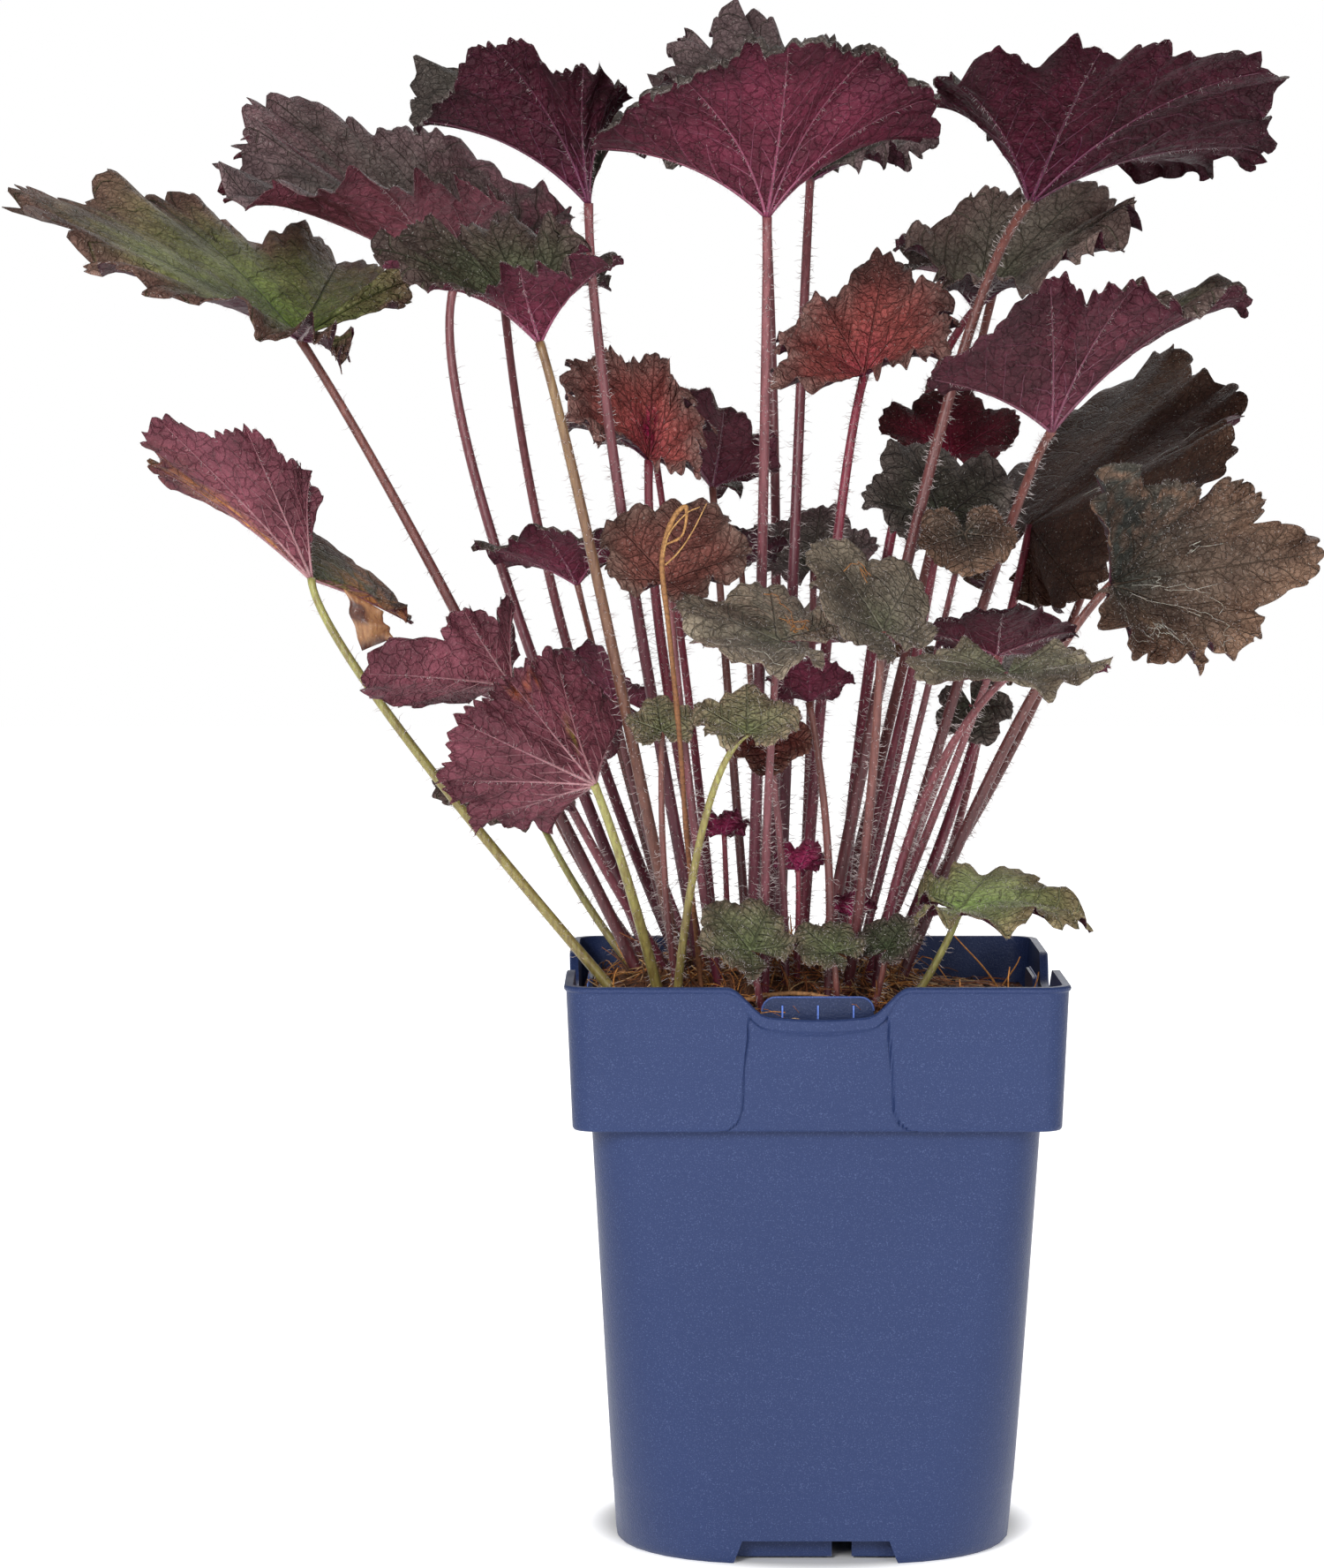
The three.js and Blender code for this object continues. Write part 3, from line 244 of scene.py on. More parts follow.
    "rear_left": new_leaf((-98, 126, 378), (-76, 80, 266), (-35, 28), (128, 14, -2), (52, 36, 12, 0.08),
        "dark plum rose low"),
    "rear_mid": new_leaf((-48, 106, 328), (-36, 74, 240), (-28, 34), (112, 6, 0), (38, 30, 10, 0.08),
        "rust plum crimson full", lobes=5, stalk=1.4),
    "rear_brown": new_leaf((105, 95, 326), (66, 62, 236), (12, 38), (40, 10, 0), (46, 30, 10, 0.07),
        "umber plum brown low", lobes=5, base=0.6, stalk=1.5),
    "rear_low_right": new_leaf((60, 88, 256), (44, 62, 196), (21, 29), (80, 4, 0), (38, 24, 6, 0.08),
        "bronze plum rose full", lobes=5, base=0.55, stalk=1.4),
    "rear_low": new_leaf((-6, 112, 264), (-10, 82, 214), (-7, 40), (88, 4, 0), (42, 24, 6, 0.08),
        "grey purple rose full", lobes=5, stalk=1.4),
    "rear_low_left": new_leaf((-96, 90, 248), (-70, 58, 196), (-40, 26), (160, 4, 0), (42, 24, 6, 0.07),
        "moss purple brown low", lobes=5, stalk=1.4),
}
# Face colours from the stalk outward: heart, middle, margin, and the veins.
FACES = {
    "dark": (0x3C4335, 0x3C3B34, 0x57504C, 0x5C5854),
    "dusky": (0x4A564A, 0x5B5652, 0x6E5C5E, 0x7E756A),
    "moss": (0x4C5C3E, 0x4F5440, 0x5A4C48, 0x6A7056),
    "green": (0x6E8A40, 0x76804E, 0x745A50, 0x4C5E2E),
    "sage": (0x636F49, 0x65694D, 0x6B6050, 0x8C9372),
    "pale": (0x828C5E, 0x8A8868, 0x8E8068, 0xB0B490),
    "silver": (0x5E6650, 0x706A60, 0x7C6A64, 0x8C8A76),
    "ash": (0x66705A, 0x74745F, 0x827A68, 0xA4A088),
    "rust": (0xA4464E, 0x9E524E, 0x80605A, 0xB86E68),
    "maroon": (0x6A2A30, 0x6A3832, 0x6A483E, 0x8A4C4C),
    "copper": (0x844E46, 0x84534B, 0x755D54, 0x9C665E),
    "umber": (0x33231C, 0x3C2B20, 0x48352A, 0x664A3A),
    "slate": (0x4C4F48, 0x625348, 0x7C6352, 0x927C6A),
    "lit": (0x90AC62, 0x97A66C, 0x8C8060, 0xC2CC9C),
    "bronze": (0x434239, 0x5C5043, 0x725A40, 0x94705E),
    "grey": (0x666854, 0x706A5D, 0x867C6C, 0x969080),
    "wine": (0x521A2C, 0x461726, 0x3A1420, 0x72384E),
    "berry": (0x5C2A3A, 0x502430, 0x461E2A, 0x7A4058),
    "crimson": (0x7A1030, 0x5E1A2A, 0x50282A, 0xA83C58),
    "purple": (0x702A42, 0x622438, 0x521E30, 0x8A4260),
    "plum": (0x4C142C, 0x421224, 0x36101E, 0x66284A),
    "pink": (0x7C4450, 0x733E4A, 0x693844, 0xAC8084),
    "magenta": (0xA82C64, 0x8E2650, 0x5E2638, 0xC86090),
}
# Stalk colours at the soil and at the blade.
STALKS = {
    "rose": (0x5C1C2E, 0x7E484C),
    "tan": (0x663C32, 0x846A48),
    "green": (0x847840, 0x9A9858),
    "crimson": (0x6A1830, 0x802E3E),
    "brown": (0x58242A, 0x774840),
}
# Hairs for each millimetre of stalk at the soil and at the blade.
HAIRS = {"full": (3.4, 1.7), "low": (2.7, 0.7), "bare": (1.2, 0.2)}
# Where a blade is marked: name -> (place among the lobes, s, half width in place, half length in s, colour).
MARKS = {
    "left_fold": [(3.7, 0.55, 0.34, 0.42, 0xC88838), (0.5, 0.7, 0.5, 0.4, 0xA87038),
                  (0.2, 0.2, 0.6, 0.2, 0x6E7A38)],
    "right_low": [(6.4, 0.6, 1.7, 1.0, 0x3C423E), (1.4, 0.5, 0.3, 0.25, 0x7A6450)],
    "left_upper": [(0.3, 0.8, 0.9, 0.5, 0x80505E), (3.0, 0.7, 0.5, 0.4, 0x6E4C54)],
    "left_far": [(3.4, 0.95, 0.6, 0.3, 0x66564C), (1.0, 0.7, 0.8, 0.4, 0x84805A)],
    "front_grey": [(0.9, 0.6, 1.2, 0.5, 0x8C7C6C)],
    "left_low": [(4.6, 0.86, 0.3, 0.05, 0xB0602C), (5.3, 0.35, 0.2, 0.12, 0x7A6A30)],
    "mid_rust": [(3.5, 0.25, 0.9, 0.2, 0xA01850)],
}


# ---------------------------------------------------------------- numbers
def linear(colour):
    """Linear red, green and blue of a 0xRRGGBB colour."""
    parts = np.array([(colour >> shift & 255) / 255 for shift in (16, 8, 0)])
    return np.where(parts < 0.04045, parts / 12.92, ((parts + 0.055) / 1.055) ** 2.4)


def smooth(low, high, x):
    """0 up to low, 1 from high on, and a smooth step between them."""
    t = np.clip((x - low) / (high - low), 0, 1)
    return t * t * (3 - 2 * t)


def hashed(seed, k):
    """A number from 0 to 1 that only depends on seed and k."""
    x = np.sin(seed * 12.9898 + k * 78.233) * 43758.5453
    return x - np.floor(x)


def lattice_noise(x, y, seed):
    """Smooth noise from 0 to 1 with one cell per unit."""
    ix, iy = np.floor(x), np.floor(y)
    fx, fy = x - ix, y - iy
    fx, fy = fx * fx * (3 - 2 * fx), fy * fy * (3 - 2 * fy)

    def corner(a, b):
        return hashed(seed + (ix + a) * 1.37, (iy + b) * 0.731)

    low = corner(0, 0) * (1 - fx) + corner(1, 0) * fx
    high = corner(0, 1) * (1 - fx) + corner(1, 1) * fx
    return low * (1 - fy) + high * fy


def unit(v):
    return v / np.maximum(np.linalg.norm(v, axis=-1, keepdims=True), 1e-12)


# ---------------------------------------------------------------- meshes
# A third of a turn apart, in radians.
THIRDS = (0, 2.094, 4.189)
SHARP_ANGLE = 35


class Shape:
    """Triangles collected for one piece, in millimetres, with a colour and a place on the blade per point."""

    def __init__(self):
        self.parts = []
        self.count = 0

    def add(self, points, triangles, material, tint, vein=None, blade=None):
        """Adds points and triangles. material is the number of their material, or one number for each."""
        n = len(points)
        tint = np.broadcast_to(tint, (n, 3))
        vein = tint if vein is None else np.broadcast_to(vein, (n, 3))
        blade = np.zeros((n, 3)) if blade is None else blade
        triangles = np.asarray(triangles, dtype=np.int64).reshape(-1, 3)
        numbers = np.broadcast_to(material, len(triangles))
        self.parts.append((np.asarray(points, float), triangles + self.count, numbers, tint, vein, blade))
        self.count += n

    def build(self, name, materials, sharp_angle=None):
        points, triangles, numbers, tint, vein, blade = [np.concatenate(c) for c in zip(*self.parts)]
        mesh = bpy.data.meshes.new(name)
        mesh.vertices.add(len(points))
        mesh.vertices.foreach_set("co", (points * MM).astype(np.float32).ravel())
        mesh.loops.add(3 * len(triangles))
        mesh.loops.foreach_set("vertex_index", triangles.astype(np.int32).ravel())
        mesh.polygons.add(len(triangles))
        mesh.polygons.foreach_set("loop_start", np.arange(0, 3 * len(triangles), 3, dtype=np.int32))
        mesh.polygons.foreach_set("material_index", numbers.astype(np.int32))
        mesh.polygons.foreach_set("use_smooth", np.ones(len(triangles), dtype=bool))
        mesh.update(calc_edges=True)
        mesh.validate()
        for label, values in (("tint", tint), ("vein_tint", vein)):
            colours = np.ones((len(points), 4), np.float32)
            colours[:, :3] = values
            mesh.attributes.new(label, "FLOAT_COLOR", "POINT").data.foreach_set("color", colours.ravel())
        place = mesh.attributes.new("blade", "FLOAT_VECTOR", "POINT")
        place.data.foreach_set("vector", blade.astype(np.float32).ravel())
        if sharp_angle:
            mesh.set_sharp_from_angle(angle=math.radians(sharp_angle))
        piece = bpy.data.objects.new(name, mesh)
        bpy.context.scene.collection.objects.link(piece)
        for material in materials:
            mesh.materials.append(material)
        return piece


def ring_faces(rings, count):
    """Triangles between successive rings of count points each, and fans that close the first and the last."""
    i = np.arange(count)
    j = (i + 1) % count
    out = []
    for k in range(rings - 1):
        a, b = k * count, (k + 1) * count
        out.append(np.stack([a + i, a + j, b + j], 1))
        out.append(np.stack([a + i, b + j, b + i], 1))
    i = np.arange(1, count - 1)
    last = (rings - 1) * count
    out.append(np.stack([0 * i, i + 1, i], 1))
    out.append(np.stack([0 * i + last, last + i, last + i + 1], 1))
    return np.concatenate(out)


def tube(path, radii, sides, across=None):
    """A closed tube along path. across, if given, is the direction of its first side at each point."""
    path = np.asarray(path, float)
    along = unit(np.gradient(path, axis=0))
    if across is None:
        first = np.array([0.31, 0.23, 0.92]) if abs(along[0][2]) < 0.8 else np.array([1.0, 0.1, 0.0])
        across = np.empty_like(path)
        for k, direction in enumerate(along):
            first = unit(first - direction * (first @ direction))
            across[k] = first
    else:
        across = unit(across - along * np.sum(across * along, axis=1, keepdims=True))
    up = np.cross(along, across)
    angle = np.arange(sides) * 2 * math.pi / sides
    radii = np.broadcast_to(radii, len(path))[:, None, None]
    ring = across[:, None] * np.cos(angle)[None, :, None] + up[:, None] * np.sin(angle)[None, :, None]
    points = (path[:, None] + ring * radii).reshape(-1, 3)
    return points, ring_faces(len(path), sides)


def straight_hairs(roots, ends, radius, rng):
    """Three-sided spikes from roots to ends."""
    n = len(roots)
    along = unit(ends - roots)
    side = unit(np.cross(along, rng.normal(size=(n, 3))))
    up = np.cross(along, side)
    points = [roots + radius * (side * math.cos(turn) + up * math.sin(turn)) for turn in THIRDS]
    points = np.stack([*points, ends], 1).reshape(-1, 3)
    faces = np.array([(0, 2, 1), (0, 1, 3), (1, 2, 3), (2, 0, 3)])
    return points, (faces[None] + 4 * np.arange(n)[:, None, None]).reshape(-1, 3)


def bent_hairs(roots, ends, radius, droop, rng):
    """Three-sided spikes from roots to ends that bend halfway."""
    n = len(roots)
    along = unit(ends - roots)
    side = unit(np.cross(along, rng.normal(size=(n, 3))))
    up = np.cross(along, side)
    length = np.linalg.norm(ends - roots, axis=1, keepdims=True)
    middle = (roots + ends) / 2 + up * length * droop
    points = []
    for centre, size in ((roots, 1.0), (middle, 0.75)):
        for turn in THIRDS:
            points.append(centre + radius * size * (side * math.cos(turn) + up * math.sin(turn)))
    points.append(ends)
    points = np.stack(points, 1).reshape(-1, 3)
    faces = [(0, 2, 1), (0, 1, 4), (0, 4, 3), (1, 2, 5), (1, 5, 4), (2, 0, 3), (2, 3, 5), (3, 4, 6),
             (4, 5, 6), (5, 3, 6)]
    return points, (np.array(faces)[None] + 7 * np.arange(n)[:, None, None]).reshape(-1, 3)


# ---------------------------------------------------------------- materials
class Graph:
    """A new material and short ways to add nodes to it."""

    def __init__(self, name):
        self.material = bpy.data.materials.new(name)
        self.material.use_nodes = True
        self.tree = self.material.node_tree
        self.tree.nodes.clear()

    def add(self, kind, inputs=None, **settings):
        node = self.tree.nodes.new(kind)
        for key, value in settings.items():
            setattr(node, key, value)
        for key, value in (inputs or {}).items():
            self.put(node.inputs[key], value)
        return node

    def put(self, socket, value):
        if isinstance(value, bpy.types.NodeSocket):
            self.tree.links.new(value, socket)
        elif isinstance(value, (tuple, list, np.ndarray)) and socket.type == "RGBA":
            socket.default_value = (*[float(c) for c in value], 1.0)[:4]
        else:
            socket.default_value = value

    def math(self, operation, a, b=0.0, clamp=False):
        return self.add("ShaderNodeMath", {0: a, 1: b}, operation=operation, use_clamp=clamp).outputs[0]

    def chain(self, operation, values):
        total = values[0]
        for value in values[1:]:
            total = self.math(operation, total, value)
        return total

    def times(self, *values):
        return self.chain("MULTIPLY", values)

    def plus(self, *values):
        return self.chain("ADD", values)

    def minus(self, a, b, clamp=False):
        return self.math("SUBTRACT", a, b, clamp)

    def attribute(self, name, output="Color"):
        return self.add("ShaderNodeAttribute", attribute_name=name).outputs[output]

    def where(self):
        return self.add("ShaderNodeTexCoord").outputs["Object"]

    def stretched(self, scale):
        return self.add("ShaderNodeMapping", {"Vector": self.where(), "Scale": scale}).outputs[0]

    def noise(self, scale, detail=3.0, rough=0.5, vector=None):
        inputs = {"Vector": vector or self.where(), "Scale": scale, "Detail": detail, "Roughness": rough}
        return self.add("ShaderNodeTexNoise", inputs).outputs["Fac"]

    def cells(self, scale, vector):
        """Distance to the edge of the nearest cell."""
        inputs = {"Vector": vector, "Scale": scale}
        return self.add("ShaderNodeTexVoronoi", inputs, feature="DISTANCE_TO_EDGE").outputs["Distance"]

    def ramp(self, value, low, high, start=0.0, end=1.0):
        inputs = {"Value": value, "From Min": low, "From Max": high, "To Min": start, "To Max": end}
        return self.add("ShaderNodeMapRange", inputs, interpolation_type="SMOOTHSTEP").outputs[0]

    def mix(self, factor, a, b, blend="MIX"):
        node = self.add("ShaderNodeMix", data_type="RGBA", blend_type=blend)
        for socket, value in zip((node.inputs[0], node.inputs[6], node.inputs[7]), (factor, a, b)):
            self.put(socket, value)
        return node.outputs[2]

    def shade(self, colour, by):
        """colour multiplied by a colour or a value."""
        return self.mix(1.0, colour, by, "MULTIPLY")

    def bump(self, height, distance, strength=1.0):
        inputs = {"Height": height, "Distance": distance, "Strength": strength}
        return self.add("ShaderNodeBump", inputs).outputs[0]

    def finish(self, shader, through=None, share=0.0):
        if through:
            shader = self.add("ShaderNodeMixShader", {0: share, 1: shader, 2: through}).outputs[0]
        output = self.add("ShaderNodeOutputMaterial")
        self.tree.links.new(shader, output.inputs["Surface"])
        return self.material

    def principled(self, **inputs):
        named = {key.replace("_", " "): value for key, value in inputs.items()}
        return self.add("ShaderNodeBsdfPrincipled", named).outputs[0]


# Millimetres across a vein from its middle: a rib at the stalk, what it loses up to the margin, a side vein.
RIB_REACH = 0.75
RIB_TAPER = 0.55
SIDE_VEIN_REACH = 0.32
SIDE_VEIN_SHARE = 0.75


def vein_mask(g):
    """1 on the veins of a blade, from the place among the lobes, s, and the millimetres across one lobe."""
    place, s, across = g.add("ShaderNodeSeparateXYZ", {0: g.attribute("blade", "Vector")}).outputs
    step = 2 * SPREAD / LEAF_DEFAULTS["lobes"]
    side = g.minus(g.math("FRACT", place), 0.5)
    u = g.math("ABSOLUTE", side)
    rib_reach = g.minus(RIB_REACH, g.times(s, RIB_TAPER))
    rib = g.minus(1.0, g.math("DIVIDE", g.times(u, across), rib_reach), clamp=True)
    start = g.math("SINE", g.minus(VEIN_ANGLE, g.times(u, step)))
    start = g.times(g.math("DIVIDE", s, math.sin(VEIN_ANGLE)), start)
    shift = g.times(g.math("GREATER_THAN", side, 0.0), SIDE_SHIFT)
    row = g.plus(g.math("DIVIDE", start, VEIN_GAP), shift)
    off = g.math("ABSOLUTE", g.minus(g.math("FRACT", row), 0.5))
    radius = g.math("DIVIDE", across, g.times(g.math("MAXIMUM", s, 0.08), step))
    off = g.times(off, radius, VEIN_GAP * math.sin(VEIN_ANGLE))
    side_vein = g.minus(1.0, g.math("DIVIDE", off, SIDE_VEIN_REACH), clamp=True)
    side_vein = g.times(side_vein, g.ramp(s, 0.1, 0.22))
    return g.math("MAXIMUM", rib, g.times(side_vein, SIDE_VEIN_SHARE))


# net: cells for each metre of the net of fine veins, the width of its lines, its share and its colour; vein:
# share and relief of the veins; mottle, grain: range of the coarse and the fine speckle; dust: its threshold
# and its share.
UPPER_FINISH = dict(net_cells=430, net_width=0.12, net_share=0.24, net_shade=(0.5, 0.5, 0.46),
                    vein_share=0.6, vein_relief=-1.4, mottle=(0.8, 1.24), grain=(0.78, 1.26), dust_from=0.67,
                    dust_share=0.5, rough=0.6, shine=0.2)
UNDER_FINISH = dict(net_cells=270, net_width=0.06, net_share=0.42, net_shade=(0.46, 0.4, 0.44),
                    vein_share=0.3, vein_relief=0.4, mottle=(0.84, 1.18), grain=(0.88, 1.14), dust_from=0.7,
                    dust_share=0.25, rough=0.52, shine=0.26)
PALE_BLOTCH = (1.3, 1.28, 1.26)
DARK_BLOTCH = (0.6, 0.54, 0.54)
DUST = (0.5, 0.47, 0.42)
BLOOD_RED = (0.7, 0.06, 0.12)


def blade_material(name, finish):
    g = Graph(name)
    f = SimpleNamespace(**finish)
    vein = vein_mask(g)
    warp = g.add("ShaderNodeTexNoise", {"Vector": g.where(), "Scale": 260.0, "Detail": 2.0}).outputs["Color"]
    where = g.add("ShaderNodeVectorMath", {0: warp, 3: 0.0035}, operation="SCALE").outputs[0]
    where = g.add("ShaderNodeVectorMath", {0: g.where(), 1: where}, operation="ADD").outputs[0]
    net = g.ramp(g.cells(f.net_cells, where), 0.01, f.net_width, 1.0, 0.0)
    mottle = g.ramp(g.noise(190, 3.0), 0.3, 0.7, *f.mottle)
    fine = g.noise(1100, 3.0, 0.65)
    grain = g.ramp(fine, 0.3, 0.75, *f.grain)
    dust = g.ramp(g.noise(1700, 1.0), f.dust_from, 0.75)
    base = g.attribute("tint")
    blotch = g.ramp(g.noise(38, 5.0, 0.62), 0.34, 0.68)
    tint = g.mix(blotch, g.shade(base, PALE_BLOTCH), g.shade(base, DARK_BLOTCH))
    tint = g.mix(g.times(net, f.net_share), tint, g.shade(tint, f.net_shade))
    tint = g.mix(g.times(vein, f.vein_share), tint, g.attribute("vein_tint"))
    tint = g.shade(tint, g.times(grain, mottle))
    tint = g.mix(g.times(dust, f.dust_share), tint, DUST)
    relief = g.plus(g.times(net, -0.45), g.times(fine, 0.5), g.times(vein, f.vein_relief),
                    g.times(g.noise(300, 2.0), 1.6))
    bump = g.bump(relief, 0.001)
    shader = g.principled(Base_Color=tint, Roughness=f.rough, Normal=bump, Specular_IOR_Level=f.shine)
    glow = g.shade(g.mix(0.25, tint, BLOOD_RED), (1.5, 1.1, 1.2))
    through = g.add("ShaderNodeBsdfTranslucent", {"Color": glow, "Normal": bump}).outputs[0]
    return g.finish(shader, through, 0.2)


def stalk_material():
    g = Graph("stalk_skin")
    streaks = g.noise(1.0, 4.0, 0.6, g.stretched((900, 900, 60)))
    base = g.attribute("tint")
    tint = g.mix(g.ramp(streaks, 0.35, 0.7), base, g.shade(base, (0.6, 0.5, 0.52)))
    tint = g.mix(g.times(g.ramp(g.noise(1400, 1.0), 0.66, 0.76), 0.35), tint, (0.62, 0.5, 0.48))
    bump = g.bump(streaks, 0.0003, 0.7)
    return g.finish(g.principled(Base_Color=tint, Roughness=0.42, Normal=bump, Sheen_Weight=0.08,
                                 Sheen_Roughness=0.4, Subsurface_Weight=0.08, Subsurface_Scale=0.002))


def hair_material():
    g = Graph("leaf_hair")
    tint = g.mix(g.noise(700, 1.0), (0.92, 0.87, 0.85), (0.74, 0.62, 0.62))
    shader = g.principled(Base_Color=tint, Roughness=0.38)
    through = g.add("ShaderNodeBsdfTranslucent", {"Color": tint}).outputs[0]
    return g.finish(shader, through, 0.45)


def pot_material():
    g = Graph("navy_plastic")
    cloud = g.noise(14, 3.0)
    colour = g.mix(cloud, linear(0x202E54), linear(0x27365E))
    speckle = g.ramp(g.noise(2800, 1.0), 0.58, 0.72)
    colour = g.mix(g.times(speckle, 0.28), colour, linear(0x6C78A0))
    relief = g.plus(g.noise(1700, 2.0), g.times(g.noise(420, 2.0), 0.5))
    # The tint attribute is 1 on the pot's shell. On the tab it carries painted shade on the plate and painted
    # highlights on the bead and ribs.
    shader = g.principled(Base_Color=g.shade(colour, g.attribute("tint")), Specular_IOR_Level=0.25,
                          Roughness=g.ramp(cloud, 0.2, 0.8, 0.36, 0.46), Normal=g.bump(relief, 0.00025, 0.6))
    return g.finish(shader)


def peat_material():
    g = Graph("peat")
    clods = g.noise(160, 6.0, 0.7)
    colour = g.mix(g.ramp(clods, 0.3, 0.7), linear(0x2C1A0F), linear(0x7A4A2C))
    colour = g.mix(g.ramp(g.noise(700), 0.58, 0.72), colour, linear(0xA87040))
    relief = g.plus(clods, g.times(g.noise(900, 4.0, 0.7), 0.6))
    return g.finish(g.principled(Base_Color=colour, Roughness=0.9, Normal=g.bump(relief, 0.0025)))


def fibre_material(name):
    g = Graph(name)
    streaks = g.noise(1300)
    base = g.attribute("tint")
    colour = g.mix(g.ramp(streaks, 0.3, 0.75), base, g.shade(base, (0.45, 0.4, 0.36)))
    return g.finish(g.principled(Base_Color=colour, Roughness=0.7, Normal=g.bump(streaks, 0.0003, 0.8)))


# ---------------------------------------------------------------- blades
# A leaf's materials, in this order.
UPPER_SIDE, UNDERSIDE, SKIN, HAIR = range(4)
WHITE = 1.0


def lobe_of(leaf, theta):
    """Place among the lobes, the lobe's number, and the place within it from -0.5 to 0.5."""
    place = (theta / SPREAD + 1) / 2 * leaf.lobes
    lobe = np.clip(np.floor(place), 0, leaf.lobes - 1)
    return place, lobe, place - lobe - 0.5


def lobe_value(values, place):
    """A smooth value at a place among the lobes, from one value for each lobe."""
    values = np.asarray(values, float)
    at = np.clip(place - 0.5, 0, len(values) - 1)
    low = np.minimum(np.floor(at).astype(int), len(values) - 2)
    t = at - low
    return values[low] + (values[low + 1] - values[low]) * t * t * (3 - 2 * t)


def margin_radius(leaf, theta):
    """Distance from the stalk to the margin in the direction theta from the midrib."""
    place, lobe, u = lobe_of(leaf, theta)
    outline = 1 - leaf.base * np.abs(theta / SPREAD) ** 1.6
    near = np.clip(lobe + np.sign(u), 0, leaf.lobes - 1)
    share = 0.5 * smooth(0.3, 0.5, np.abs(u))
    wide = hashed(leaf.seed, 3 + lobe) * (1 - share) + hashed(leaf.seed, 3 + near) * share
    uneven = 1 + 0.12 * (wide - 0.5) + 0.07 * (lattice_noise(place * 1.1, 0 * place, leaf.seed + 3) - 0.5)
    rounded = 1 - leaf.cut * leaf.sinus * np.abs(2 * u) ** 2.4
    w = leaf.teeth * place + 0.9 * (lattice_noise(place * 2.5, 0 * place, leaf.seed + 1) - 0.5)
    tooth = np.floor(w)
    crown = np.sin(np.pi * (w - tooth)) ** 0.55 + leaf.tip * np.exp(-((w - tooth - 0.5) / 0.14) ** 2)
    depth = leaf.fine * (0.45 + 1.1 * hashed(leaf.seed, 40 + tooth))
    grown = lobe_value(leaf.lengths, place) if leaf.lengths else 1
    return leaf.size * outline * uneven * rounded * grown * (1 + depth * (crown - 0.8))


def vein_start(u, s, step):
    """Where on its lobe's midrib the side vein through (u, s) leaves, as a share of the blade."""
    return s * np.sin(np.maximum(VEIN_ANGLE - np.abs(u) * step, 0.02)) / math.sin(VEIN_ANGLE)


def margin_wave(leaf, theta, s):
    """Height of the ruffles: broad waves as in the solid, a frill at the margin, pillows between veins."""
    place, _, u = lobe_of(leaf, theta)
    broad = np.sin(2 * np.pi * (place * (0.85 + 0.3 * hashed(leaf.seed, 1)) + hashed(leaf.seed, 2)))
    medium = np.sin(2 * np.pi * (place * 1.9 + hashed(leaf.seed, 5)))
    wave = leaf.ruffle * s ** 2.2 * (0.7 * broad + 0.4 * medium)
    vary = 0.4 + 1.2 * lattice_noise(place * 0.9, place * 0, leaf.seed + 5)
    curl = np.sin(2 * np.pi * (place * 2.3 + hashed(leaf.seed, 6) + 0.3 * np.sin(place * 2)))
    small = np.sin(2 * np.pi * (place * 4.7 + hashed(leaf.seed, 7) + 0.4 * np.sin(place * 3.1)))
    wave = wave + leaf.frill * vary * (0.8 * s ** 5 * curl + 0.5 * s ** 9 * small)
    row = vein_start(u, s, 2 * SPREAD / leaf.lobes) / VEIN_GAP + SIDE_SHIFT * (u > 0)
    off = np.abs(row % 1 - 0.5) * 2
    pillow = (1 - np.exp(-(u * 6) ** 2)) * (0.4 + 0.6 * (1 - np.exp(-(off * 2.2) ** 2)))
    wave = wave + leaf.puff * s ** 0.7 * (1 - 0.4 * s) * pillow
    return leaf.size * wave


def blade_point(leaf, theta, s):
    """A point of the blade's middle surface, at theta and s."""
    s = np.maximum(s, 0)
    radius = margin_radius(leaf, theta)
    place, _, _ = lobe_of(leaf, theta)
    start = np.radians(leaf.cup + (lobe_value(leaf.lifts, place) if leaf.lifts else 0 * place))
    turn = math.radians(leaf.flare - leaf.cup) or 0.001
    flat = np.minimum(s, LIP_START)
    slope = start + turn * flat
    out = radius * (np.sin(slope) - np.sin(start)) / turn
    rise = radius * (np.cos(start) - np.cos(slope)) / turn
    roll = math.radians(leaf.lip) * smooth(0.2, 0.6, lattice_noise(place * 1.4, place * 0, leaf.seed + 9))
    bend = turn - roll / (1 - LIP_START) + 1e-6
    last = slope + bend * (s - flat)
    out = out + radius * (np.sin(last) - np.sin(slope)) / bend
    rise = rise + radius * (np.cos(slope) - np.cos(last)) / bend
    wave = margin_wave(leaf, theta, s)
    out, rise = out - wave * np.sin(slope), rise + wave * np.cos(slope)
    fold = math.radians(leaf.fold)
    x, y = out * np.cos(theta), out * np.sin(theta)
    point = (leaf.origin + x[..., None] * leaf.along + (y * math.cos(fold))[..., None] * leaf.side
             + (rise + np.abs(y) * math.sin(fold))[..., None] * leaf.up)
    point[..., 2] -= leaf.nod * leaf.size * np.maximum(0, x / leaf.size) ** 2
    return point


def blade_normal(leaf, theta, s):
    step = 0.004
    s = np.maximum(s, 2 * step)
    dt = blade_point(leaf, theta + step, s) - blade_point(leaf, theta - step, s)
    ds = blade_point(leaf, theta, s + step) - blade_point(leaf, theta, s - step)
    return unit(np.cross(ds, dt))


